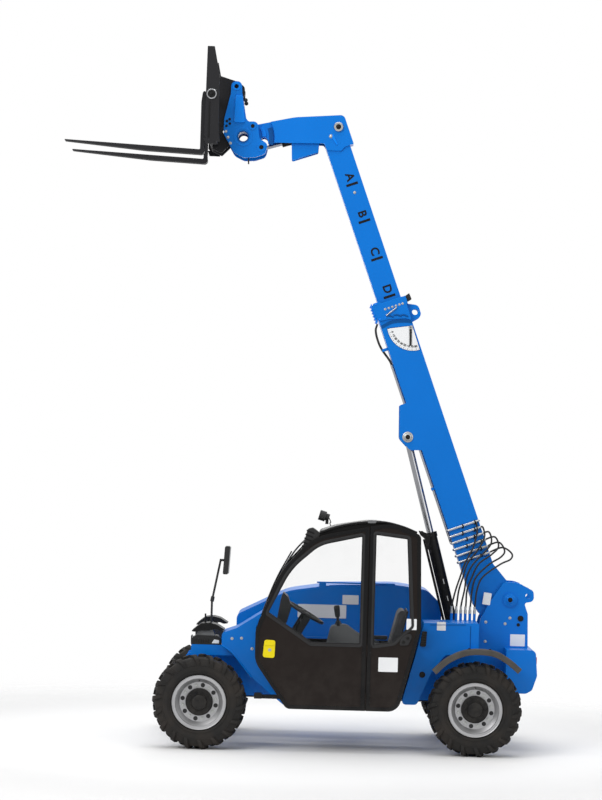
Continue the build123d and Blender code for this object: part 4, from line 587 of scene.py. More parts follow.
def rubber(name, colour, dusty, roughness, grain, dust):
    """Rubber: fine pores, with dust in broad patches."""
    finish = Finish(name, **{"Base Color": colour, "Specular IOR Level": 0.35})
    patch = finish.noise(6.0, 6.0)
    finish.look(
        Base_Color=finish.blend(patch.over(0.52, 0.35) * dust, colour, dusty),
        Roughness=patch * 0.18 + roughness - 0.08,
    )
    finish.relief(finish.noise(grain, 4.0), 0.25, 0.0015)


def plated(name, colour, roughness):
    """Bare or plated metal: fine grain and soft stains."""
    finish = Finish(name, **{"Base Color": colour, "Metallic": 1.0})
    grain, stain = finish.noise(180.0, 2.0), finish.noise(9.0, 4.0)
    finish.look(
        Base_Color=finish.blend(stain, lighter(colour, 0.86), colour),
        Roughness=grain * 0.10 + stain * 0.10 + roughness - 0.08,
    )
    finish.relief(grain, 0.06, 0.0004)


def make_finishes(colours):
    """Every finish the machine uses, from the colours in the panel."""
    blue = tuple(colours.body)
    for row in (                         # name, colour, roughness, coat, dust
        ("blue_paint", blue, 0.32, 0.08, 0.05),
        # The next two rows are the body blue lightened as painted highlight and darkened as painted shade.
        ("blue_light", lighter(blue, 1.25), 0.30, 0.1, 0.0),
        ("blue_shade", lighter(blue, 0.45), 0.40, 0.0, 0.0),
        ("black_paint", tuple(colours.cab_frame), 0.36, 0.08, 0.06),
        ("brown_paint", tuple(colours.cab_panels), 0.42, 0.05, 0.06),
        ("charcoal_paint", (0.016, 0.016, 0.018), 0.5, 0.0, 0.05),
        ("black_iron", (0.008, 0.008, 0.0085), 0.42, 0.0, 0.15),
        ("yellow_plastic", (0.76, 0.62, 0.01), 0.42, 0.0, 0.0),
        ("white_plate", (0.80, 0.81, 0.82), 0.45, 0.0, 0.0),
        ("grey_plastic", (0.16, 0.165, 0.17), 0.55, 0.0, 0.1),
        ("red_lens", (0.45, 0.012, 0.01), 0.18, 0.6, 0.0),
        ("glass_black", (0.008, 0.010, 0.012), 0.12, 0.3, 0.0),
    ):
        painted(*row)
    for row in (                         # name, colour, roughness
        ("rim_silver", tuple(colours.rims), 0.42),
        ("bright_steel", (0.62, 0.63, 0.65), 0.20),
        ("chrome_rod", (0.52, 0.53, 0.56), 0.12),
        ("zinc", (0.55, 0.56, 0.55), 0.38),
    ):
        plated(*row)
    for row in (                         # name, colour, dusty colour, roughness, grain, dust
        ("tyre_rubber", (0.0075, 0.007, 0.0065), (0.034, 0.026, 0.020), 0.72, 90.0, 0.5),
        ("fender_rubber", (0.050, 0.046, 0.042), (0.10, 0.090, 0.078), 0.72, 140.0, 0.5),
        ("hose_rubber", (0.012, 0.012, 0.013), (0.03, 0.03, 0.03), 0.5, 90.0, 0.2),
        ("black_plastic", (0.014, 0.014, 0.015), (0.03, 0.03, 0.03), 0.5, 300.0, 0.3),
    ):
        rubber(*row)
    fabric = Finish("seat_cover", **{"Base Color": (0.03, 0.03, 0.034), "Sheen Weight": 0.3})
    weave = fabric.bands("DIAGONAL", 260.0, 0.4)
    colour = fabric.blend(weave, (0.018, 0.018, 0.02), (0.045, 0.045, 0.05))
    fabric.look(Base_Color=colour, Roughness=weave * 0.1 + 0.82)
    fabric.relief(weave, 0.4, 0.0008)
    glass = Finish("glass", **{"Base Color": (0.10, 0.12, 0.125), "Specular IOR Level": 0.12})
    film = glass.noise(4.0, 5.0).over(0.62, 0.3)
    glass.look(Roughness=film * 0.05 + 0.02, Alpha=film * 0.02 + 0.02)
    lens = Finish("lamp_lens", **{"Base Color": (0.75, 0.78, 0.80), "Roughness": 0.08, "Coat Weight": 0.5})
    lens.relief(lens.bands("Y", 40.0), 0.3, 0.002)
    floor = Finish("floor_finish", **{"Base Color": (0.80, 0.80, 0.80), "Roughness": 0.7})
    reach = floor.node("ShaderNodeVectorMath", {"operation": "LENGTH"}, {0: floor.place})
    floor.look(
        Base_Color=floor.blend(floor.noise(3.0, 3.0), (0.79, 0.79, 0.79), (0.81, 0.81, 0.81)),
        Alpha=1 - Value(floor, reach.outputs["Value"]).over(4.2, 3.6),
    )


# ---- Sizes and colours a user may change ------------------------------------------------------
class TelehandlerColours(bpy.types.PropertyGroup):
    """Colours of the machine's main finishes."""

    body: bpy.props.FloatVectorProperty(
        name="Body", description="Paint of the boom and panels", subtype="COLOR",
        default=(0.0, 0.162, 0.610), min=0, max=1)
    cab_frame: bpy.props.FloatVectorProperty(
        name="Cab frame", description="Paint of the cab's tubes and roof", subtype="COLOR",
        default=(0.006, 0.006, 0.0065), min=0, max=1)
    cab_panels: bpy.props.FloatVectorProperty(
        name="Cab panels", description="Paint of the door and side panels", subtype="COLOR",
        default=(0.0125, 0.0085, 0.0072), min=0, max=1)
    rims: bpy.props.FloatVectorProperty(
        name="Rims", description="Finish of the wheel rims", subtype="COLOR",
        default=(0.50, 0.50, 0.51), min=0, max=1)


class TelehandlerSizes(bpy.types.PropertyGroup):
    """Sizes of the small pieces."""

    hose: bpy.props.FloatProperty(
        name="Hose", description="Radius of a hydraulic hose", subtype="DISTANCE", default=0.0075)
    seal: bpy.props.FloatProperty(
        name="Seal", description="Width of a window's rubber seal", subtype="DISTANCE", default=0.016)


class PieceOperator:
    """What the operators that add pieces share."""

    bl_options = {"REGISTER", "UNDO"}

    def execute(self, context):
        self.build(context.scene.telehandler_sizes)
        return {"FINISHED"}


class TELEHANDLER_OT_finishes(bpy.types.Operator):
    """Makes every finish and gives each CAD node its own."""

    bl_idname = "telehandler.finishes"
    bl_label = "Finishes"

    def execute(self, context):
        make_finishes(context.scene.telehandler_colours)
        slots = {row["node"]: row["material_slot"] for row in frame["record"]["subparts"]}
        for name, obj in frame["nodes"].items():
            finish = FINISHES[NODE_FINISHES.get(name, slots[name])]
            if not obj.material_slots:
                obj.data.materials.append(finish)
            for slot in obj.material_slots:
                slot.material = finish
        return {"FINISHED"}


# ---- Wheels -----------------------------------------------------------------------------------
def tyre_skin(centre):
    """A tyre: r(x) is a smooth profile turned about the axle, plus lugs that follow it.

    A lug's point is profile(s) + height(s) normal(s), at the angle a0 + slant s + width(s) v, so
    each bar leans, narrows towards the sidewall and dies into it.
    """
    w, t = TYRE_HALF, TREAD_RADIUS
    skin = curved([
        (w - 0.027, 0.2035), (w - 0.027, 0.226), (w - 0.016, 0.238), (w - 0.011, 0.262),
        (w - 0.010, 0.290), (w - 0.013, 0.318), (w - 0.022, 0.345), (w - 0.040, t), (0.0, t + 0.004),
    ], 4)
    full = np.vstack([skin, (skin * [-1, 1])[::-1][1:]])
    parts = [turned(centre, LEFT, np.vstack([full, full[:1]]), 96)]
    inner, outer = w - 0.0165, w - 0.0085
    band = [(inner, -0.006), (outer, -0.003), (outer, 0.003), (inner, 0.006)]
    for radius in (0.252, 0.305):
        for way in (1, -1):
            parts.append(turned(centre, LEFT, [(way * x, radius + r) for x, r in band], 96))
    line = curved([(-0.004, t), (w - 0.055, t), (w - 0.018, t - 0.022), (w - 0.010, t - 0.058)], 5)
    s = np.linspace(0, 1, len(line))
    tangent = unit(np.gradient(line, axis=0))
    normal = np.column_stack([-tangent[:, 1], tangent[:, 0]])
    normal *= np.sign(normal[:, 1:] + 1e-9)
    height = LUG * np.minimum(1, (1 - s) * 2.6 + 0.06)
    height[0] = LUG
    v, up = np.array([(-1, -0.005), (-0.80, 0.92), (-0.70, 1.0), (0.70, 1.0), (0.80, 0.92), (1, -0.005)]).T
    rise = np.where(up > 0, up * height[:, None], up)
    base = line[:, None, :] + rise[:, :, None] * normal[:, None, :]
    swing = -0.15 * s[:, None] ** 0.9 + v * 0.024 * (1 - 0.25 * s[:, None]) / t
    x, r = np.minimum(base[..., 0], w - 0.0005), base[..., 1]
    rows, columns = x.shape
    faces = [list(f) for f in grid_faces(rows, columns)]
    ends = np.arange(rows * columns).reshape(rows, columns)[[0, -1]].tolist()
    faces += [ends[0][::-1], ends[1]]
    for way, offset in ((1, 0.0), (-1, 0.5)):
        one = [f[::-1] for f in faces] if way > 0 else faces
        for lug in range(LUGS):
            angle = 2 * np.pi / LUGS * (lug + offset) + swing
            points = centre + np.stack([way * x, r * np.cos(angle), r * np.sin(angle)], -1)
            parts.append((points.reshape(-1, 3), one))
    return together(*parts)


def spread(centre, radius, count, first=0.0):
    """Points round a circle that faces along X."""
    angle = np.linspace(0, 2 * np.pi, count, endpoint=False) + first
    return centre + radius * np.stack([0 * angle, np.cos(angle), np.sin(angle)], -1)


class TELEHANDLER_OT_wheels(PieceOperator, bpy.types.Operator):
    """Adds the four tyres with their lugs, and the bolts, caps and valves of the rims."""

    bl_idname = "telehandler.wheels"
    bl_label = "Wheels"

    def build(self, sizes):
        hub = [
            (-0.030, 0.114), (-0.004, 0.112), (0.004, 0.106), (0.004, 0.070), (0.030, 0.060), (0.034, 0.052),
        ]
        hole = [(-0.004, 0.019), (0.001, 0.019), (0.0045, 0.017)]
        lip = [(0.0, 0.2225), (0.003, 0.2255), (0.006, 0.2225), (0.003, 0.2185), (0.0, 0.2225)]
        stem = [(0, 0.005), (0.030, 0.004), (0.032, 0.005), (0.040, 0.005)]
        first = 0.2                      # angle of the first rim bolt
        for name in ("front_left", "front_right", "rear_left", "rear_right"):
            body, centre = "wheel_" + name, np.array(JOINTS["roll_" + name]["pos_m"])
            out = LEFT if name.endswith("left") else -LEFT
            piece("tyre_skin_" + name, *tyre_skin(centre), body, "tyre_rubber", replaces=["tyre_" + name])
            face, hub_at = centre + out * 0.044, centre + out * 0.078
            bolts("rim_bolts_" + name, spread(face, 0.137, 8, first), out, 0.012, 0.014, body, "zinc")
            lathe("hub_cap_" + name, hub_at, out, hub, 48, body, "black_iron", bevel=0.002)
            bolts("hub_bolts_" + name, spread(hub_at + out * 0.004, 0.088, 10), out, 0.007, 0.007, body)
            # Black pucks stand in the rim's holes as painted shade.
            holes = spread(face, 0.140, 8, first + np.pi / 8)
            lathe("rim_holes_" + name, holes, out, hole, 20, body, "black_plastic")
            piece("rim_lip_" + name, *turned(centre + out * 0.1125, out, lip, 96), body, "rim_silver")
            lathe("valve_" + name, centre + out * 0.050 + [0, 0, 0.178], out, stem, 12, body, "black_plastic")


# ---- Boom and hoses ---------------------------------------------------------------------------
def dial_way(degrees):
    """The way from the dial's centre to the mark for a boom angle."""
    angle = math.radians(DIAL_START + degrees)
    return np.array([0, math.cos(angle), math.sin(angle)])


def pipe_along(k):
    """Where a pipe lies along the boom; the first is the furthest."""
    return PIPE_FIRST + PIPE_PITCH * (PIPE_COUNT - 1 - k)


class TELEHANDLER_OT_boom(PieceOperator, bpy.types.Operator):
    """Adds the boom's angle dial, marks, pins, clamps, collar bolts and mouth fittings."""

    bl_idname = "telehandler.boom"
    bl_label = "Boom"

    def build(self, sizes):
        head = [(0.0, 0.046), (0.006, 0.046), (0.008, 0.043), (0.008, 0.032), (0.016, 0.030), (0.018, 0.026)]
        for side, word in SIDES:
            out = LEFT * side
            for name, place, body, finish in (
                ("lift_pin", LIFT_PIN + out * BOOM_X, "boom_outer", "zinc"),
                ("pivot_pin", PIVOT + out * (WALL_X + 0.018), "chassis", "blue_paint"),
                ("base_pin", LIFT_BASE + out * WALL_X, "chassis", "blue_paint"),
            ):
                lathe(f"{name}_head_{word}", place - out * 0.002, out, head, 40, body, finish, 0.001)
                bolts(f"{name}_bolt_{word}", place + out * 0.016, out, 0.014, 0.010, body)
        # Bright sight slots down the lift cylinder's barrel.
        run = unit(LIFT_PIN - LIFT_BASE)
        beside = np.cross(run, LEFT)
        slots = [bar_view(LIFT_BASE + run * along + beside * 0.012, run, beside, -0.022, 0.022, 0.0035)
                 for along in (0.300, 0.470, 0.620)]
        slots = together(*(plate(slot, LIFT_FACE - 0.004, LIFT_FACE) for slot in slots))
        piece("barrel_slots", *slots, JOINTS["lift_barrel_swing"]["child"], "bright_steel", smooth=False)
        self.dial()
        # Reach marks on the inner tube, on both sides.
        for side, word in SIDES:
            marks = []
            for letter, along in zip("ABCD", (3.865, 3.53, 3.19, 2.85)):
                spot = on_boom(along, -0.150, side * (INNER_X + 0.0004))
                marks.append(figure(letter, spot, -ALONG * side, ACROSS, 0.100, 0.0028))
                bar = bar_view(spot, ALONG, ACROSS, -0.076, -0.055, 0.052)
                marks.append(plate(bar, side * INNER_X, side * (INNER_X + 0.001)))
            piece(f"reach_marks_{word}", *together(*marks), "boom_inner", "black_iron", smooth=False)
            stud = on_boom(3.725, -0.152, side * INNER_X)
            bolts(f"pad_stud_{word}", stud, LEFT * side, 0.009, 0.006, "boom_inner", "zinc")
        self.pipes()
        self.mouth()

    def dial(self):
        """Angle dial: a sector whose figures show where a plumb pointer hangs at each boom angle."""
        body, dark, x = "boom_outer", "black_plastic", BOOM_X
        centre, radius = on_boom(2.485, -0.042, x), DIAL_RADIUS
        arc = [centre + radius * dial_way(b) for b in np.linspace(-12, 89, 44)]
        rim = rounded(np.array([centre, *arc])[:, 1:], 0.004)
        # The dial's rim is the body blue darkened as painted shade.
        piece("dial_rim", *plate(rim, x, x + 0.0015), body, "blue_shade", smooth=False)
        arc = [centre + (radius - 0.004) * dial_way(b) for b in np.linspace(-10.5, 87.5, 44)]
        inner = np.array([centre + dial_way(40) * 0.006, *arc])[:, 1:]
        piece("dial_plate", *plate(inner, x, x + 0.0024), body, "white_plate", smooth=False)
        ticks, figures = [], []
        for degrees in range(-10, 88, 5):
            way, long = dial_way(degrees), degrees % 10 == 0
            cross = np.cross(LEFT, way)
            start, half = (0.90, 0.0016) if long else (0.93, 0.0009)
            tick = bar_view(centre, way, cross, radius * start, radius * 0.965, half)
            ticks.append(plate(tick, x + 0.002, x + 0.003))
            if long and 0 <= degrees < 85:
                spot = centre + LEFT * 0.0026 + radius * 0.83 * way
                figures.append(figure(str(degrees), spot, cross, -way, 0.026))
        piece("dial_ticks", *together(*ticks), body, dark, smooth=False)
        piece("dial_figures", *together(*figures), body, dark, smooth=False)
        hang = centre + [0.004, -0.017, -0.020]
        blade = hang[1:] + [(-0.010, 0.0), (0.010, 0.0), (0.012, -0.150), (0.004, -0.158), (-0.006, -0.150)]
        piece("dial_pointer", *plate(blade, x + 0.004, x + 0.009), body, dark, False, 0.001)
        piece("dial_pivot", *flat_ring(hang + LEFT * 0.004, LEFT, 0.006, 0.015, 0.005), body, "zinc")

    def pipes(self):
        """Pipes across the left side; the three further ones run on under the tube, then as hoses."""
        body, beside, under = "boom_outer", BOOM_X + 0.0125, TUBE_UNDER - 0.0125
        pipes, clips, runs, nuts = [], [], [], []
        hose = [(2.20, 0), (2.26, -0.004), (2.374, -0.038), (2.46, -0.046), (2.543, -0.036), (2.59, -0.006)]
        nut = [(0, 0.0105), (0, 0.0135), (0.030, 0.0135), (0.030, 0.0085)]
        for k in range(PIPE_COUNT):
            along, x_under = pipe_along(k), 0.078 - 0.026 * k if k < 3 else 0.084
            corners = [on_boom(along, TUBE_TOP - 0.045, beside), on_boom(along, under, beside),
                       on_boom(along, under, x_under)]
            if k < 3:
                corners.append(on_boom(2.22, under, x_under))
                runs.append(pipe([on_boom(a, under + t, x_under) for a, t in hose], 8, 0.0085, 12))
                nuts.append(turned(on_boom(2.19, under, x_under), ALONG, nut, 6))
            line = bent(np.array(corners), PIPE_BEND)
            pipes.append(swept(line, circle(PIPE_RADIUS), LEFT + ALONG + ACROSS))
            for across in (-0.075 - 0.022 * (k % 3), -0.185 - 0.020 * (k % 2)):
                clips.append(flat_ring(on_boom(along, across, beside), ACROSS, 0.0106, 0.0145, 0.013, 16))
                spot, reach = on_boom(along - 0.016, across, BOOM_X + 0.004), np.array([0.004, 0.006, 0.006])
                clips.append(brick(spot - reach, spot + reach))
        piece("boom_pipe_runs", *together(*pipes), body, "bright_steel", replaces=["boom_pipes"])
        piece("pipe_clips", *together(*clips), body, "black_iron")
        piece("mouth_hoses", *together(*runs), body, "hose_rubber")
        piece("hose_nuts", *together(*nuts), body, "zinc")
        for along, drop in ((1.10, 0.028), (1.72, 0.028), (2.36, 0.052)):
            low, high = along - 0.012, along + 0.012
            bar = [(low, TUBE_UNDER), (high, TUBE_UNDER), (high, TUBE_UNDER - drop), (low, TUBE_UNDER - drop)]
            slab("run_guide_%d" % (along * 100), bar, 0, 0.006, 0.094, body, "blue_paint", 0.002, on_boom)

    def mouth(self):
        """Mouth: cheeks, a row of bolts, studs in painted highlight, a bright rod, straps and a band in
        painted shade, and a toothed lower edge in painted highlight.
        """
        body = "boom_outer"
        cheek = [
            (2.748, -0.050), (2.748, -0.236), (2.766, -0.262), (2.766, -0.306), (2.750, -0.318),
            (2.640, -0.318), (2.606, -0.302), (2.596, -0.215), (2.560, -0.085), (2.532, -0.040),
            (2.600, -0.034), (2.690, -0.034),
        ]
        inside = [(2.566, -0.302), (2.580, -0.20), (2.556, -0.10), (2.528, -0.040)]
        for side, word in SIDES:
            out, near = LEFT * side, side * (BOOM_X + 0.0145)
            slab(f"mouth_cheek_{word}", cheek, 0.012, side * BOOM_X, near, body, "blue_paint", 0.002, on_boom)
            row = spots([(2.688, t) for t in (-0.222, -0.190, -0.158, -0.126, -0.094, -0.066)], near, on_boom)
            bolts(f"mouth_bolts_{word}", row, out, 0.0075, 0.006, body, "zinc")
            studs = spots(((2.755, -0.285), (2.62, -0.290), (2.62, -0.240)), near, on_boom)
            # The studs are the body blue lightened as painted highlight.
            bolts(f"mouth_studs_{word}", studs, out, 0.008, 0.006, body, "blue_light")
            ends = spots(((2.634, -0.232), (2.672, -0.125)), near + 0.008 * side, on_boom)
            piece(f"mouth_rod_{word}", *rod(*ends, 0.006), body, "bright_steel")
            # The straps are the body blue darkened as painted shade.
            for k, (a, t) in enumerate(((2.618, -0.205), (2.604, -0.140), (2.585, -0.085))):
                strap = [on_boom(a + 0.012, t - 0.030, near), on_boom(a + 0.006, t, near + 0.003 * side),
                         on_boom(a - 0.018, t + 0.028, near)]
                piece(f"mouth_strap_{k}_{word}", *pipe(strap, 6, 0.007), body, "blue_shade")
            # A thin band of the body blue, darkened as painted shade, along the cheek's inner edge.
            band = curved(seen(inside, 0, on_boom), 6)
            band = np.vstack([band, (band - 0.028 * ALONG[1:])[::-1]])
            shape = plate(band, side * BOOM_X, side * (BOOM_X + 0.003))
            piece(f"mouth_shade_band_{word}", *shape, body, "blue_shade", smooth=False)
        tooth = ((0.010, -0.008), (0.013, -0.018), (0.021, -0.018), (0.024, -0.008))
        teeth = [(k * 0.028 + a, t) for k in range(6) for a, t in tooth]
        teeth = [(0.0, 0.0), (0.0, -0.008), *teeth, (0.175, -0.008), (0.175, 0.0)]
        teeth = [(MOUTH_ALONG - 0.150 + a, TUBE_UNDER - 0.0125 + t) for a, t in teeth]
        for side, word in SIDES:
            low, high = side * 0.100, side * 0.112
            # The toothed flange is the body blue lightened as painted highlight.
            slab(f"mouth_flange_{word}", teeth, 0, low, high, body, "blue_light", 0.001, on_boom)
        box = ((2.690, -0.030), (2.742, -0.030), (2.757, 0.018), (2.700, 0.022))
        slab("mouth_box", box, 0.006, 0.020, 0.096, body, "black_plastic", 0.003, on_boom)


class TELEHANDLER_OT_hoses(PieceOperator, bpy.types.Operator):
    """Adds the six hydraulic hoses that loop from the chassis over to the boom's pipes."""

    bl_idname = "telehandler.hoses"
    bl_label = "Hoses"

    def build(self, sizes):
        fitting = [(0, 0), (0, 0.0125), (0.030, 0.0125), (0.032, 0.0095), (0.060, 0.0095), (0.060, 0)]
        made, collars = [], {"chassis": [], "boom_outer": []}
        for k, row in enumerate(HOSE_LINES):
            start = at(HOSE_FIRST + HOSE_PITCH * k, 1.153, 0.235)
            end = on_boom(pipe_along(k), TUBE_TOP - 0.045, BOOM_X + 0.0135)
            loop = [at(*place) for place in row]
            knots = [start, start + [0, 0.004, 0.07], *loop, end + ACROSS * 0.035, end]
            made.append(pipe(knots, 14, sizes.hose, 14))
            collars["chassis"].append(turned(start - [0, 0, 0.012], (0, 0, 1), fitting, 12))
            collars["boom_outer"].append(turned(end - ACROSS * 0.006, ACROSS, fitting, 12))
        hoses = piece("hydraulic_hoses", *together(*made), None, "hose_rubber")
        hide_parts("hoses")
        tuple(at(2.2, 1.30))
        tuple(at(2.35, 1.72))
        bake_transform(hoses)
        for body, parts in collars.items():
            piece("hose_fittings_" + body, *cleaned(*together(*parts)), body, "zinc")


# ---- Fork head --------------------------------------------------------------------------------
def cut_slabs(table, place=at, side=1, ending=""):
    """Slabs from rows of name, body, finish, bevel, corner radius, x_in, x_out, outline."""
    for name, body, finish, bevel, radius, x_in, x_out, rows in table:
        slab(name + ending, rows, radius, side * x_in, side * x_out, body, finish, bevel, place)


def add_bolts(table, place=at, side=1, ending=""):
    """Bolt heads from rows of name, body, finish, radius, height, x, places."""
    for name, body, finish, radius, height, x, rows in table:
        bolts(name + ending, spots(rows, side * x, place), LEFT * side, radius, height, body, finish)


class TELEHANDLER_OT_head(PieceOperator, bpy.types.Operator):
    """Adds the neck's pins and ribs, and the coupler's and carriage's rings, bolts and webs; one rib, one
    ring, the web and the neck's tag are in painted highlight, one rib in painted shadow and one ring in
    painted shade.
    """

    bl_idname = "telehandler.head"
    bl_label = "Neck and fork head"

    def build(self, sizes):
        neck, head, face, edge = "boom_inner", "fork_head", COUPLER_X, CARRIAGE_X
        lobes = ((0.079, 0.092, 0.0172), (0.158, -0.088, 0.0192))
        shaft = (-0.266, 0.313)
        # coupler_ring_0 is the body blue darkened as painted shade, and coupler_ring_2 the body blue
        # lightened as painted highlight.
        rings = (                        # name, body, finish, place, x, inner, outer, height
            ("neck_boss", neck, "zinc", (0.815, 0.111), 0.096, 0.020, 0.040, 0.012),
            ("coupler_ring_0", head, "blue_shade", (0, 0), face, 0.041, 0.053, 0.004),
            ("coupler_ring_1", head, "blue_paint", (0, 0), face, 0.066, 0.082, 0.003),
            ("coupler_ring_2", head, "blue_light", (-0.069, 0.430), face, 0.019, 0.036, 0.004),
            ("coupler_ring_3", head, "blue_paint", lobes[0][:2], face, 0.017, 0.034, 0.004),
            ("coupler_ring_4", head, "blue_paint", lobes[1][:2], face, 0.019, 0.040, 0.004),
            ("shaft_ring", head, "bright_steel", shaft, edge, 0.031, 0.043, 0.014),
        )
        heads = (
            ("neck_bolt", neck, "black_iron", 0.016, 0.014, 0.100, [(0.815, 0.111)]),
            ("neck_fitting", neck, "zinc", 0.012, 0.010, NECK_X, [(0.753, 0.029)]),
            ("coupler_bolts", head, "black_iron", 0.008, 0.007, face,
             [(-0.143, 0.130), (-0.118, 0.108), (-0.146, 0.088), (-0.120, 0.146)]),
            ("coupler_studs", head, "zinc", 0.009, 0.008, face,
             [(-0.150, 0.040), (-0.130, -0.010), (-0.108, -0.060)]),
            ("shaft_bolt", head, "black_iron", 0.012, 0.008, edge + 0.016, [shaft]),
        )
        # The neck's tag and the coupler's web are the body blue lightened as painted highlight.
        cuts = (
            ("neck_tag", neck, "blue_light", 0.002, 0.006, NECK_X, NECK_X + 0.006,
             [(0.743, 0.039), (0.775, 0.043), (0.813, -0.041), (0.803, -0.045)]),
            ("coupler_web", head, "blue_light", 0.005, 0.014, face, face + 0.012,
             [(-0.075, 0.352), (-0.012, 0.352), (0.012, 0.118), (-0.082, 0.118)]),
            ("side_seam", head, "black_iron", 0.001, 0, edge, edge + 0.004,
             [(-0.287, 0.245), (-0.276, 0.245), (-0.276, -0.055), (-0.290, -0.055)]),
            ("side_foot", head, "charcoal_paint", 0.002, 0.006, edge - 0.020, edge - 0.001,
             [(-0.325, -0.060), (-0.225, -0.060), (-0.215, -0.108), (-0.310, -0.106)]),
        )
        # Two raised arcs on the neck: the inner one in painted highlight, the outer one in painted shadow,
        # the shadow that the coupler's plates cast there.
        ribs = (                         # name, inner and outer radius, from, to, outer face, finish
            ("neck_rib_0", 0.163, 0.196, 4, 31, 0.072, "blue_light"),
            ("neck_rib_1", 0.222, 0.262, -13, 22, 0.068, "blue_shade"),
        )
        knob = [(0, 0.016), (0.006, 0.018), (0.018, 0.015), (0.022, 0.008)]
        stub = [(0, 0.032), (0.016, 0.032), (0.020, 0.028)]
        for side, word in SIDES:
            out, ending = LEFT * side, "_" + word
            for name, body, finish, where, x, inner, outer, height in rings:
                shape = flat_ring(at_head(*where, side * x), out, inner, outer, height)
                piece(name + ending, *shape, body, finish)
            add_bolts(heads, at_head, side, ending)
            cut_slabs(cuts, at_head, side, ending)
            for name, low, high, start, end, x, finish in ribs:
                angle = np.radians(np.linspace(start, end, 16))
                way = np.column_stack([np.cos(angle), np.sin(angle)])
                arc = np.vstack([high * way, low * way[::-1]])
                slab(name + ending, arc, 0, side * 0.061, side * x, neck, finish, 0.0015, at_head)
            for k, (behind, up, radius) in enumerate(lobes):
                plug = [(0, radius), (0.001, radius), (0.0015, radius * 0.6)]
                pin_at = at_head(behind, up, side * face)
                lathe(f"coupler_pin_{k}{ending}", pin_at, out, plug, 24, head, "black_iron")
            knob_at, stub_at = at_head(0.012, 0.318, side * 0.098), at_head(*shaft, side * (edge - 0.002))
            lathe("coupler_knob" + ending, knob_at, out, knob, 20, head, "black_plastic")
            lathe("shaft_end" + ending, stub_at, out, stub, 36, head, "black_iron")
        pin = rod(at_head(0.052, -0.232, 0.105), at_head(0.050, -0.150, 0.105), 0.006)
        piece("neck_pin", *pin, head, "black_iron")
        bars = [rod(at_head(-0.282, 0.655, x), at_head(-0.278, 0.330, x), 0.011)
                for x in np.linspace(-0.36, 0.36, 7)]
        piece("backrest_bars", *together(*bars), head, "charcoal_paint")
        for k, x in enumerate((-0.350, 0.350)):
            collars = [flat_ring(at_head(*shaft, x + d), LEFT, 0.032, 0.047, 0.012) for d in (-0.060, 0.048)]
            piece(f"fork_collars_{k}", *together(*collars), head, "charcoal_paint")


# ---- Cab, body and lamps ----------------------------------------------------------------------
def blank_plate(name, *where, **how):
    """A blank white plate on the machine."""
    piece(name, *label(*where, **how), "chassis", "white_plate", smooth=False)


def box_rows(behind, up, width, height):
    """Corners of an upright rectangle from its lower front corner."""
    return [(behind, up), (behind + width, up), (behind + width, up + height), (behind, up + height)]


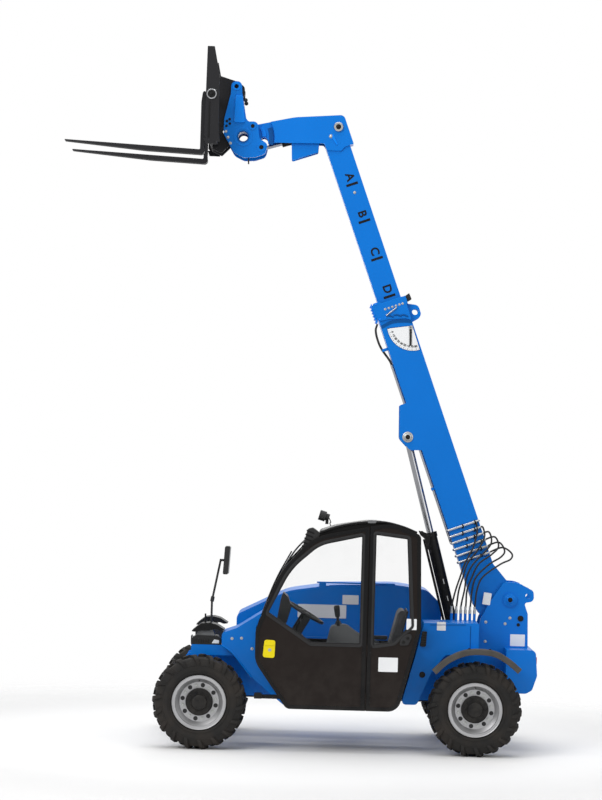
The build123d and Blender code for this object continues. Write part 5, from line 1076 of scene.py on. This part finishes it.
class TELEHANDLER_OT_cab(PieceOperator, bpy.types.Operator):
    """Adds the cab's seals, frame trim, handle, wiper, blank plates and roof trim."""

    bl_idname = "telehandler.cab"
    bl_label = "Cab trim"

    def build(self, sizes):
        x, car = CAB_X, "chassis"
        for name, glass, outline, body in (
            ("door", DOOR_GLASS, DOOR_OUTLINE, "door"), ("quarter", QUARTER_GLASS, QUARTER_OUTLINE, car),
        ):
            for part, rows, low, high, x_in, x_out, crown, finish in (
                ("seal", glass, -0.006, sizes.seal, -0.022, 0.004, 0.003, "black_plastic"),
                ("bead", glass, -0.016, -0.002, -0.026, -0.010, 0.001, "hose_rubber"),
                ("rim", outline, -0.032, -0.001, -0.001, 0.004, 0.0035, "black_paint"),
            ):
                piece(f"{name}_{part}", *ring_band(rows, low, high, x + x_in, x + x_out, crown), body, finish)
        cut_slabs((
            ("door_pillar_trim", "door", "black_paint", 0.002, 0.004, x, x + 0.006,
             [(1.331, 1.800), (1.364, 1.806), (1.364, 0.372), (1.331, 0.372)]),
            ("quarter_pillar_trim", car, "black_paint", 0.002, 0.004, x, x + 0.006,
             [(1.376, 1.806), (1.404, 1.806), (1.404, 0.372), (1.376, 0.372)]),
            ("handle_pan", "door", "yellow_plastic", 0.004, 0.022, x, x + 0.010,
             [(0.514, 0.774), (0.612, 0.768), (0.618, 0.915), (0.526, 0.919)]),
            ("handle_grip", "door", "yellow_plastic", 0.003, 0.012, x + 0.009, x + 0.016,
             [(0.524, 0.872), (0.612, 0.872), (0.616, 0.905), (0.532, 0.908)]),
            ("quarter_latch", car, "black_plastic", 0.003, 0.016, x - 0.012, x + 0.014,
             [(1.640, 0.900), (1.712, 0.905), (1.742, 0.975), (1.730, 1.002), (1.690, 0.992),
              (1.646, 0.950)]),
            ("screen_box", car, "black_plastic", 0.004, 0.014, 0.690, 0.850,
             [(0.858, 1.838), (0.900, 1.852), (0.965, 1.806), (0.920, 1.700), (0.838, 1.606),
              (0.806, 1.640)]),
            ("roof_clasp", car, "grey_plastic", 0.003, 0.008, 0.800, 0.862,
             [(1.352, 1.900), (1.420, 1.902), (1.426, 1.926), (1.350, 1.924)]),
            ("rear_bracket", car, "black_paint", 0.002, 0.010, 0.800, 0.840,
             [(1.772, 1.852), (1.842, 1.832), (1.868, 1.792), (1.856, 1.690), (1.836, 1.690), (1.830, 1.780),
              (1.790, 1.812)]),
        ))
        for k in range(6):
            b, u = 0.808 + 0.009 * k, 1.655 + 0.032 * k
            rib = [(b - 0.006, u + 0.006), (b, u + 0.016), (b + 0.060, u - 0.006), (b + 0.056, u - 0.016)]
            slab(f"screen_box_rib_{k}", rib, 0, 0.686, 0.854, car, "black_iron", 0.001)
        hinges = [(f"hinge_bolts_{name}_{k}", body, "black_iron", 0.006, 0.005, x + 0.0085,
                   [(b, up - 0.028), (b, up + 0.028)])
                  for k, up in enumerate((0.455, 0.860))
                  for name, body, b in (("door", "door", 1.337), ("cab", car, 1.405))]
        add_bolts((
            *hinges,
            ("door_lock", "door", "zinc", 0.010, 0.006, x + 0.009, [(0.571, 0.835)]),
            ("quarter_latch_bolts", car, "black_iron", 0.010, 0.006, x + 0.013,
             [(1.672, 0.930), (1.706, 0.962)]),
            ("rear_bracket_bolts", car, "black_iron", 0.012, 0.010, 0.840,
             [(1.848, 1.810), (1.846, 1.730), (1.800, 1.832)]),
        ))
        blank_plate("cab_plate_low", 1.550, 0.740, 0.160, 0.118, x + 0.0002)
        blank_plate("cab_plate_high", 1.735, 1.077, 0.084, 0.090, x + 0.0002)
        arm = [(0.868, 1.770, 0.530), (0.752, 1.640, 0.530), (0.636, 1.440, 0.525), (0.553, 1.240, 0.520)]
        piece("wiper_arm", *pipe([at(*row) for row in arm], 8, 0.007), car, "black_plastic")
        blade = curved(spots([(0.728, 1.640), (0.617, 1.430), (0.538, 1.235), (0.490, 1.100)], 0.520), 8)
        wedge = [
            (-0.004, -0.012), (0.004, -0.012), (0.006, 0.002), (0.0015, 0.012), (-0.0015, 0.012),
            (-0.006, 0.002),
        ]
        piece("wiper_blade", *swept(blade, wedge), car, "black_plastic")
        gutter = [
            (0.960, 1.812), (1.120, 1.868), (1.300, 1.902), (1.480, 1.910), (1.640, 1.876), (1.760, 1.830),
        ]
        piece("roof_gutter", *pipe(spots(gutter, 0.848), 10, 0.012, 10), car, "black_paint")
        socket = [(0, 0.02), (0.02, 0.018)]
        lathe("roof_socket", at(1.640, 1.855, 0.330), (0, 0, 1), socket, 20, car, "black_plastic")


class TELEHANDLER_OT_body(PieceOperator, bpy.types.Operator):
    """Adds the fenders' lips, thin lines of painted shade on the tank, blank plates, plugs, tank cap, grille
    and tail lamps.
    """

    bl_idname = "telehandler.body"
    bl_label = "Body trim"

    def build(self, sizes):
        car = "chassis"
        for side, word in SIDES:
            out = LEFT * side
            for k, (b, u, r) in enumerate(((2.690, 1.107, 0.026), (2.672, 1.053, 0.015))):
                hole_at = at(b, u, side * WALL_X)
                edge = flat_ring(hole_at, out, r, r + 0.005, 0.003)
                piece(f"tower_hole_rim_{k}_{word}", *edge, car, "blue_paint")
                # A thin black disc fills the hole as painted shade.
                lathe(f"tower_hole_{k}_{word}", hole_at, out, [(0, r), (0.0012, r)], 28, car, "black_iron")
            face = side * (WALL_X + 0.0002)
            blank_plate(f"tower_plate_{word}", 2.669, 0.922, 0.125, 0.100, face, side)
            blank_plate(f"tower_tag_{word}", 2.400, 1.268, 0.066, 0.102, face, side, lean=-8)
            bead = spots([(2.556, 1.408), (2.640, 1.405), (2.700, 1.388)], side * (WALL_X - 0.006))
            piece(f"tower_bead_{word}", *pipe(bead, 6, 0.007), car, "blue_paint")
            add_bolts([("tower_bolts_" + word, car, "zinc", 0.009, 0.006, WALL_X,
                        [(2.395, 1.070), (2.395, 0.905), (2.560, 1.060), (2.600, 1.110)])], side=side)
            # The tail lamp's outline faces backwards, so its plate is turned from X to Y.
            lamp = rounded([(side * x, z) for x, z in box_rows(0.300, 0.740, 0.092, 0.060)], 0.010)
            points, faces = plate(lamp, FRONT_Y + 2.794, FRONT_Y + 2.818)
            shape = oriented(points[:, [1, 0, 2]], faces)
            piece(f"tail_lamp_{word}", *shape, car, "red_lens", False, 0.002)
        # Left tank with its plug, two thin lines in painted shade, one down the shaded gap beside the tower,
        # and its filter.
        blank_plate("tank_plate", 1.995, 1.052, 0.074, 0.072, TANK_X + 0.0002)
        for k, rows in enumerate((((2.240, 0.850), (2.240, 1.060)), ((2.200, 1.068), (1.900, 1.060)))):
            # Each line is the body blue darkened as painted shade.
            piece(f"tank_shade_line_{k}", *rod(*spots(rows, TANK_X + 0.001), 0.003, 8), car, "blue_shade")
        vent = [(1.820, 0.880), (1.868, 0.880), (1.876, 1.005), (1.836, 1.005)]
        slab("side_filter", vent, 0.008, 0.560, 0.640, car, "black_plastic", 0.004)
        ribs = [[(b + step * k, 0.895 + 0.020 * k) for b, step in ((1.824, 0.004), (1.870, 0.001))]
                for k in range(6)]
        ribs = [rod(*spots(rows, 0.642), 0.004, 8) for rows in ribs]
        piece("side_filter_ribs", *together(*ribs), car, "black_iron")
        add_bolts((
            ("tank_plug", car, "black_iron", 0.018, 0.012, TANK_X, [(1.846, 0.643)]),
            ("front_bolts", car, "zinc", 0.009, 0.006, TANK_X,
             [(0.330, 0.905), (0.420, 0.820), (0.250, 0.900)]),
        ))
        lip = [(0.165, 0.842), (0.255, 0.783), (0.365, 0.653), (0.425, 0.580)]
        piece("front_lip", *pipe(spots(lip, 0.602), 8, 0.008), car, "blue_paint")
        # Counterweight's bolts and tow pin.
        weight = [at(2.802, 0.600, x) for x in (-0.18, 0.18)]
        bolts("weight_bolts", weight, (0, 1, 0), 0.016, 0.014, car)
        tow = [(0, 0.0145), (0.150, 0.0145), (0.152, 0.010)]
        lathe("tow_pin_bar", at(2.743, 0.640), (0, 0, 1), tow, 24, car, "zinc")
        # Engine hood: louvres, latches and the blank plates seen through the cab; pod's bolts.
        louvres = [rounded(seen(box_rows(0.900 + 0.068 * k, 1.000, 0.040, 0.120)), 0.010) for k in range(10)]
        louvres = together(*(plate(louvre, HOOD_X, HOOD_X - 0.005) for louvre in louvres))
        piece("hood_louvres", *louvres, "hood", "black_plastic", False, 0.002)
        for k, b in enumerate((0.780, 1.780)):
            latch = box_rows(b, 0.925, 0.060, 0.050)
            slab(f"hood_latch_{k}", latch, 0.010, HOOD_X, HOOD_X - 0.010, "hood", "black_plastic", 0.003)
        pod = [(b, 0.520) for b in (0.80, 1.05, 1.30, 1.55)]
        add_bolts([("pod_bolts", car, "zinc", 0.009, 0.006, -HOOD_X, pod)], side=-1)
        blank_plate("hood_plate_long", 1.000, 1.100, 0.420, 0.115, HOOD_INNER_X)
        blank_plate("hood_plate_square", 1.245, 1.206, 0.140, 0.080, HOOD_INNER_X)
        self.fenders()

    def fenders(self):
        """The rear fenders: a rubber skin with a rolled lip, carried round an arc over each wheel."""
        out = 0.0550                     # half the skin's width
        top = curved([(-0.363, 0.709), (-0.255, 0.806), (-0.115, 0.874), (0.028, 0.892), (0.165, 0.874),
                      (0.280, 0.812), (0.374, 0.735)], 10)
        skin = np.array([
            (-out, -0.004), (-out, -0.010), (out - 0.012, -0.010), (out - 0.010, -0.044),
            (out - 0.004, -0.050), (out, -0.045), (out, -0.008), (out - 0.005, -0.002), (0.0, 0.0),
        ])
        for side, word in SIDES:
            path = np.column_stack([np.full(len(top), side * 0.8475), REAR_Y + top[:, 0], top[:, 1]])
            up = np.cross(unit(np.gradient(path, axis=0)), -LEFT)
            up *= np.sign(up[:, 2:])
            ring = path[:, None] + skin[None, :, :1] * LEFT * side + skin[None, :, 1:] * up[:, None]
            shape = oriented(ring.reshape(-1, 3), tube_faces(len(path), len(skin)))
            replaces = ["rear_fenders"] if side > 0 else ()
            piece(f"fender_{word}", *shape, "chassis", "fender_rubber", False, 0.0015, replaces)
            heads = [(side * 0.86, REAR_Y + a, b) for a, b in ((-0.06, 0.887), (0.11, 0.885))]
            bolts(f"fender_bolts_{word}", heads, (0, 0, 1), 0.010, 0.007, "chassis")
            stays = (                    # behind the axle from and to, up from and to, inner x
                (-0.055, 0.015, 0.838, 0.866, TANK_X if side > 0 else 0.600),
                (0.287, 0.313, 0.738, 0.762, 0.420),
            )
            for k, (b0, b1, u0, u1, inner) in enumerate(stays):
                x_low, x_high = sorted((side * inner, side * 0.894))
                stay = brick((x_low, REAR_Y + b0, u0), (x_high, REAR_Y + b1, u1))
                piece(f"fender_stay_{k}_{word}", *stay, "chassis", "blue_paint", False, 0.003)


class TELEHANDLER_OT_lamps(PieceOperator, bpy.types.Operator):
    """Adds the headlamps' lenses, guards and posts, the work light's lens and the mirror's glass."""

    bl_idname = "telehandler.lamps"
    bl_label = "Lamps and mirror"

    def build(self, sizes):
        car, ahead = "chassis", (0, -1, 0)
        base = [
            (-0.097, 0.838), (0.155, 0.838), (0.160, 0.872), (0.128, 0.912), (-0.052, 0.916), (-0.092, 0.886),
        ]
        others = (                       # a core and a swept wing over the base
            ("headlamp_core_", car, "grey_plastic", 0.003, 0.010, 0.360, 0.500,
             [(-0.060, 0.905), (0.105, 0.905), (0.088, 0.965), (-0.030, 0.965)]),
            ("headlamp_wing_", car, "black_iron", 0.003, 0.010, 0.326, 0.526,
             [(-0.096, 0.946), (-0.052, 0.985), (-0.014, 1.014), (0.060, 1.022), (0.118, 1.008),
              (0.188, 0.964), (0.146, 0.958), (0.112, 0.972), (0.050, 0.956), (-0.010, 0.954),
              (-0.058, 0.942)]),
            ("indicator_", car, "lamp_lens", 0.001, 0.006, 0.518, 0.523,
             [(0.078, 0.850), (0.140, 0.850), (0.140, 0.876), (0.100, 0.884)]),
        )
        lens = [(-0.004, 0.032), (0.004, 0.032), (0.008, 0.020), (0.009, 0)]
        for side, word in SIDES:
            replaces = ["headlamps"] if side > 0 else ()
            low, high = side * 0.330, side * 0.520
            slab(f"headlamp_base_{word}", base, 0.010, low, high, car, "black_plastic", 0.003,
                 replaces=replaces)
            cut_slabs(others, side=side, ending=word)
            for k, x in enumerate(sorted((side * 0.385, side * 0.465))):
                lens_at = at(-0.088, 0.872, x)
                ring = flat_ring(lens_at, ahead, 0.032, 0.037, 0.010)
                piece(f"headlamp_ring_{k}_{word}", *ring, car, "black_iron")
                lathe(f"headlamp_lens_{k}_{word}", lens_at, ahead, lens, 32, car, "lamp_lens")
            ribs = [rod(*spots([(b, 0.852), (b, 0.884)], high), 0.003, 8)
                    for b in np.linspace(-0.070, 0.050, 7)]
            piece(f"headlamp_ribs_{word}", *together(*ribs), car, "black_iron")
        post = rod(at(0.020, 0.990, 0.470), at(0.018, 1.095, 0.470), 0.007)
        piece("marker_post", *post, car, "black_iron")
        glass = [(0.199, 1.436), (0.204, 1.436), (0.216, 1.657), (0.211, 1.657)]
        slab("mirror_glass", glass, 0, 0.374, 0.506, car, "bright_steel")
        clamp = [(0, 0.016), (0.040, 0.016), (0.044, 0.012)]
        boot = [(0, 0.024), (0.015, 0.022), (0.020, 0.014), (0.060, 0.012), (0.062, 0)]
        lathe("mirror_clamp", at(0.068, 1.196, 0.440), (0, 0.18, 0.98), clamp, 20, car, "black_plastic")
        lathe("mirror_boot", at(0.068, 0.944, 0.440), (0, 0, 1), boot, 20, car, "black_plastic")
        lamp_at, way = at(0.956, 1.955, CAB_X - 0.145), np.array([0, 0.96, -0.28])
        glass = [(0, 0.036), (0.005, 0.030), (0.007, 0.0)]
        lathe("work_lens", lamp_at, -way, glass, 28, car, "lamp_lens")
        piece("work_bezel", *flat_ring(lamp_at, -way, 0.036, 0.042, 0.006), car, "black_iron")
        cable = [lamp_at + way * 0.078, lamp_at + way * 0.095 + [0, 0, -0.03],
                 at(1.040, 1.890, CAB_X - 0.140), at(1.046, 1.868, CAB_X - 0.140)]
        piece("work_cable", *pipe(cable, 8, 0.004), car, "hose_rubber")
        add_bolts([("work_stay_bolt", car, "zinc", 0.009, 0.007, CAB_X - 0.130, [(1.008, 1.925)])])


# ---- Inside the cab ---------------------------------------------------------------------------
class TELEHANDLER_OT_controls(PieceOperator, bpy.types.Operator):
    """Adds the steering wheel's rim, the dash display, joystick, pedals and levers."""

    bl_idname = "telehandler.controls"
    bl_label = "Controls"

    def build(self, sizes):
        mid, car = CAB_MIDDLE_X, "chassis"
        self.steering_wheel()
        cut_slabs((
            ("dash_pod", car, "black_plastic", 0.006, 0.014, mid - 0.120, mid + 0.120,
             [(0.615, 1.040), (0.690, 1.010), (0.735, 1.180), (0.712, 1.262), (0.668, 1.300),
              (0.648, 1.240)]),
            ("dash_screen", car, "glass_black", 0.0, 0.001, mid - 0.095, mid + 0.095,
             [(0.700, 1.052), (0.704, 1.050), (0.740, 1.178), (0.736, 1.180)]),
            ("column_cover", car, "black_plastic", 0.006, 0.020, mid - 0.050, mid + 0.050,
             [(0.760, 0.930), (0.800, 0.905), (0.905, 1.085), (0.885, 1.125), (0.850, 1.120)]),
            ("console", car, "grey_plastic", 0.008, 0.030, 0.240, 0.300,
             [(1.050, 0.700), (1.480, 0.700), (1.500, 0.880), (1.300, 0.960), (1.205, 1.030), (1.075, 1.015),
              (1.040, 0.860)]),
            ("floor_mat", car, "hose_rubber", 0.0, 0.003, 0.260, 0.770,
             [(0.790, 0.378), (1.560, 0.378), (1.560, 0.386), (0.790, 0.386)]),
        ))
        piece("dash_stem", *rod(at(0.640, 0.960, mid), at(0.650, 1.060, mid), 0.030), car, "black_plastic")
        gaiter = [(0, 0.034), (0.012, 0.030), (0.018, 0.032), (0.028, 0.022), (0.034, 0.023), (0.046, 0.012)]
        grip = [(0.040, 0.010), (0.070, 0.012), (0.080, 0.021), (0.130, 0.024), (0.160, 0.026),
                (0.172, 0.018), (0.174, 0)]
        stick_at, lean = at(1.140, 1.010, 0.270), (0, -0.12, 1)
        lathe("stick_gaiter", stick_at, lean, gaiter, 24, car, "hose_rubber")
        lathe("stick_grip", stick_at, lean, grip, 24, car, "black_plastic")
        pad = [(0.800, 0.405), (0.812, 0.400), (0.870, 0.512), (0.858, 0.518)]
        for k, x in enumerate((mid - 0.110, mid + 0.100)):
            slab(f"pedal_{k}", pad, 0.003, x - 0.036, x + 0.036, car, "black_plastic", 0.002)
            ribs = [(0.817 + 0.011 * n, 0.411 + 0.0205 * n) for n in range(5)]
            ribs = [rod(at(*rib, x - 0.030), at(*rib, x + 0.030), 0.003, 8) for rib in ribs]
            piece(f"pedal_ribs_{k}", *together(*ribs), car, "hose_rubber")
            piece(f"pedal_arm_{k}", *rod(at(0.838, 0.468, x), at(0.790, 0.560, x), 0.008), car, "black_iron")
        ribs = [rod(at(0.800, 0.387, x), at(1.200, 0.387, x), 0.003, 6) for x in np.linspace(0.29, 0.75, 16)]
        piece("floor_mat_ribs", *together(*ribs), car, "hose_rubber")
        lugs = [brick(at(0.456, 0.4695, x), at(0.510, 0.4735, x + 0.008))
                for x in np.linspace(0.795, 0.845, 4)]
        piece("step_tread", *together(*lugs), car, "black_iron", False, 0.001)

    def steering_wheel(self):
        """A ribbed rim, three spokes, the hub's cover and the stalks behind it."""
        joint = JOINTS["steering_wheel_turn"]
        hub, axis = np.array(joint["pos_m"]), np.array(joint["axis"], float)
        axis, first, second = frame_of(axis * np.sign(axis[2]))
        angle = np.linspace(0, 2 * np.pi, 72, endpoint=False)
        radial = circle(1.0, 72) @ [first, second]
        section = circle(1.0, 12)
        thick = (0.0135 + 0.0008 * np.cos(24 * angle))[:, None, None]
        round_section = section[None, :, :1] * radial[:, None] + section[None, :, 1:] * axis
        ring = (hub + axis * RIM_LIFT + 0.171 * radial)[:, None] + thick * round_section
        parts = [oriented(ring.reshape(-1, 3), grid_faces(72, 12, close_rows=True, close_columns=True))]
        flat = [
            (-0.013, -0.004), (0.013, -0.004), (0.015, 0.0), (0.013, 0.004), (-0.013, 0.004), (-0.015, 0.0),
        ]
        for turn in np.radians((90, 210, 330)):
            way = math.cos(turn) * first + math.sin(turn) * second
            spoke = [hub + axis * (RIM_LIFT - 0.012 + h) + way * r
                     for r, h in ((0.030, 0.020), (0.080, 0.006), (0.130, 0.0), (0.168, 0.010))]
            parts.append(swept(curved(spoke, 6), flat, axis))
        cover = [(0, 0), (0, 0.036), (0.022, 0.040), (0.034, 0.034), (0.042, 0.018), (0.044, 0)]
        parts.append(cleaned(*turned(hub + axis * (RIM_LIFT - 0.022), axis, cover, 36)))
        wheel = "steering_wheel"
        piece("steering_rim", *together(*parts), wheel, "black_plastic", replaces=[wheel])
        for k, (dx, rise) in enumerate(((-0.13, -0.010), (0.13, -0.016))):
            base = hub - axis * 0.085
            stalk = [base, base + [dx * 0.5, 0.002, rise * 0.5], base + [dx, 0.004, rise]]
            piece(f"stalk_{k}", *pipe(stalk, 6, 0.006, up=(0, 0, 1)), "chassis", "black_plastic")


class TELEHANDLER_OT_seat(PieceOperator, bpy.types.Operator):
    """Adds the driver's seat: two padded pieces in a hard shell on its rails."""

    bl_idname = "telehandler.seat"
    bl_label = "Seat"

    def build(self, sizes):
        low, high, car = CAB_MIDDLE_X - 0.225, CAB_MIDDLE_X + 0.225, "chassis"
        cushion = [(1.196, 0.684), (1.500, 0.684), (1.500, 0.752), (1.380, 0.754), (1.196, 0.762)]
        back = [(1.536, 0.780), (1.604, 0.764), (1.700, 1.172), (1.660, 1.192), (1.641, 1.180)]
        for name, rows in (("seat_cushion", cushion), ("seat_back", back)):
            pad = piece(name, *plate(seen(rows, 0.022), low + 0.020, high - 0.020), car, "seat_cover")
            swell(pad, 0.010)
        shell = [(1.182, 0.650), (1.580, 0.650), (1.596, 0.690), (1.712, 1.170), (1.706, 1.182),
                 (1.698, 1.176), (1.584, 0.716), (1.560, 0.676), (1.190, 0.674), (1.182, 0.668)]
        slab("seat_shell", shell, 0.006, low + 0.004, high - 0.004, car, "black_plastic", 0.003,
             replaces=["seat"])
        lines = ([(1.215, 0.7695), (1.350, 0.7665), (1.470, 0.7615)],
                 [(1.5375, 0.830), (1.580, 0.985), (1.628, 1.150)])
        seams = [pipe(spots(line, low + (high - low) * share), 8, 0.003)
                 for share in (0.26, 0.74) for line in lines]
        piece("seat_seams", *together(*seams), car, "black_plastic")
        rest = [(1.320, 0.905), (1.555, 0.905), (1.560, 0.940), (1.330, 0.940)]
        slab("arm_rest", rest, 0.014, low - 0.002, low + 0.036, car, "black_plastic", 0.006)


def swell(pad, cap, voxel=0.006, frames=20, pressure=4.0):
    """Blows a closed mesh up as cloth, with gravity off, and lets no point move further than cap."""
    remesh = pad.modifiers.new("remesh", "REMESH")
    remesh.mode = "VOXEL"
    remesh.voxel_size = voxel
    take_result(pad)
    start = coordinates(pad.data)
    cloth = pad.modifiers.new("cloth", "CLOTH")
    cloth.settings.use_pressure = True
    cloth.settings.uniform_pressure_force = pressure
    cloth.settings.effector_weights.gravity = 0.0
    for number in range(1, frames + 1):
        bpy.context.scene.frame_set(number)
    take_result(pad)
    bpy.context.scene.frame_set(1)
    move = coordinates(pad.data) - start
    length = np.linalg.norm(move, axis=1, keepdims=True)
    move *= np.minimum(1.0, cap / np.maximum(length, 1e-9))
    pad.data.vertices.foreach_set("co", (start + move).ravel())
    pad.data.update()
    pad.data.polygons.foreach_set("use_smooth", np.full(len(pad.data.polygons), True))
    finer = pad.modifiers.new("finer", "SUBSURF")
    finer.levels = finer.render_levels = 1


def take_result(obj):
    """Puts what the modifiers make in the object's own mesh and takes them off."""
    evaluated = obj.evaluated_get(bpy.context.evaluated_depsgraph_get())
    obj.data = bpy.data.meshes.new_from_object(evaluated)
    obj.modifiers.clear()


# ---- Stage ------------------------------------------------------------------------------------
class TELEHANDLER_OT_stage(bpy.types.Operator):
    """Adds the camera, the soft lights, the pale floor and the world."""

    bl_idname = "telehandler.stage"
    bl_label = "Stage"

    def execute(self, context):
        scene = context.scene
        camera = bpy.data.cameras.new("camera")
        camera.lens, camera.sensor_width, camera.clip_end = 114.6, 36.0, 200.0
        holder = bpy.data.objects.new("camera", camera)
        scene.collection.objects.link(holder)
        place_camera(holder, np.array([21.905, 0.098, 2.45]), math.radians(1.6), 0.0035, -0.0216)
        scene.camera = holder
        for row in LAMPS:
            add_lamp(*row)
        floor = brick((-60, -60, -0.02), (60, 60, 0.0))
        piece("floor", *floor, None, "floor_finish", smooth=False)
        world = bpy.data.worlds.new("world")
        scene.world = world
        world.use_nodes = True
        tint_world(world)
        scene.view_settings.view_transform = "Standard"
        return {"FINISHED"}


def place_camera(holder, place, roll, shift_right, shift_up):
    """Looks along -X, rolled, with -X standing that far right of and above the picture's middle.

    right = cos roll Y + sin roll Z, up = -sin roll Y + cos roll Z, and both lean by the shifts.
    """
    right = unit(np.array([0, math.cos(roll), math.sin(roll)]) - shift_right * LEFT)
    up = np.array([0, -math.sin(roll), math.cos(roll)]) - shift_up * LEFT
    back = unit(np.cross(right, unit(up)))
    matrix = np.eye(4)
    matrix[:3] = np.column_stack([right, np.cross(back, right), back, place])
    holder.matrix_world = Matrix(matrix.tolist())


def add_lamp(name, place, size, energy):
    """A square area lamp that faces the machine's middle."""
    lamp = bpy.data.lights.new(name, "AREA")
    lamp.size, lamp.energy = size, energy
    obj = bpy.data.objects.new(name, lamp)
    bpy.context.scene.collection.objects.link(obj)
    obj.location = place
    towards = Vector((0, 0.3, 2.4)) - Vector(place)
    obj.rotation_euler = towards.to_track_quat("-Z", "Y").to_euler()


def tint_world(world):
    """A plain pale world: white to the camera, glass and metal, softer as a light."""
    nodes, links = world.node_tree.nodes, world.node_tree.links
    background = nodes["Background"]
    background.inputs["Color"].default_value = (1, 1, 1, 1)
    rays = nodes.new("ShaderNodeLightPath")
    seen_rays = nodes.new("ShaderNodeMath")
    seen_rays.operation = "MAXIMUM"
    links.new(rays.outputs["Is Camera Ray"], seen_rays.inputs[0])
    links.new(rays.outputs["Is Transmission Ray"], seen_rays.inputs[1])
    strength = nodes.new("ShaderNodeMapRange")
    strength.inputs["To Min"].default_value = 0.55
    strength.inputs["To Max"].default_value = 1.0
    links.new(seen_rays.outputs[0], strength.inputs["Value"])
    links.new(strength.outputs[0], background.inputs["Strength"])


OPERATORS = [
    TELEHANDLER_OT_finishes, TELEHANDLER_OT_wheels, TELEHANDLER_OT_boom, TELEHANDLER_OT_hoses,
    TELEHANDLER_OT_head, TELEHANDLER_OT_cab, TELEHANDLER_OT_body, TELEHANDLER_OT_lamps,
    TELEHANDLER_OT_controls, TELEHANDLER_OT_seat, TELEHANDLER_OT_stage,
]


class TELEHANDLER_PT_panel(bpy.types.Panel):
    """Lists the sizes, the colours and the steps."""

    bl_idname = "TELEHANDLER_PT_panel"
    bl_label = "Telehandler"
    bl_space_type = "VIEW_3D"
    bl_region_type = "UI"
    bl_category = "Telehandler"

    def draw(self, context):
        for group in (context.scene.telehandler_colours, context.scene.telehandler_sizes):
            for name in group.__annotations__:
                self.layout.prop(group, name)
        for operator in OPERATORS:
            self.layout.operator(operator.bl_idname)


CLASSES = [TelehandlerColours, TelehandlerSizes, *OPERATORS, TELEHANDLER_PT_panel]


def register():
    """Registers the classes and puts the settings on the scene."""
    for cls in CLASSES:
        bpy.utils.register_class(cls)
    bpy.types.Scene.telehandler_colours = bpy.props.PointerProperty(type=TelehandlerColours)
    bpy.types.Scene.telehandler_sizes = bpy.props.PointerProperty(type=TelehandlerSizes)


def unregister():
    """Takes the settings off the scene and the classes out."""
    del bpy.types.Scene.telehandler_colours
    del bpy.types.Scene.telehandler_sizes
    for cls in reversed(CLASSES):
        bpy.utils.unregister_class(cls)


def main():
    """Adds everything in order."""
    register()
    for operator in OPERATORS:
        group, name = operator.bl_idname.split(".")
        getattr(getattr(bpy.ops, group), name)()


if __name__ == "__main__":
    main()
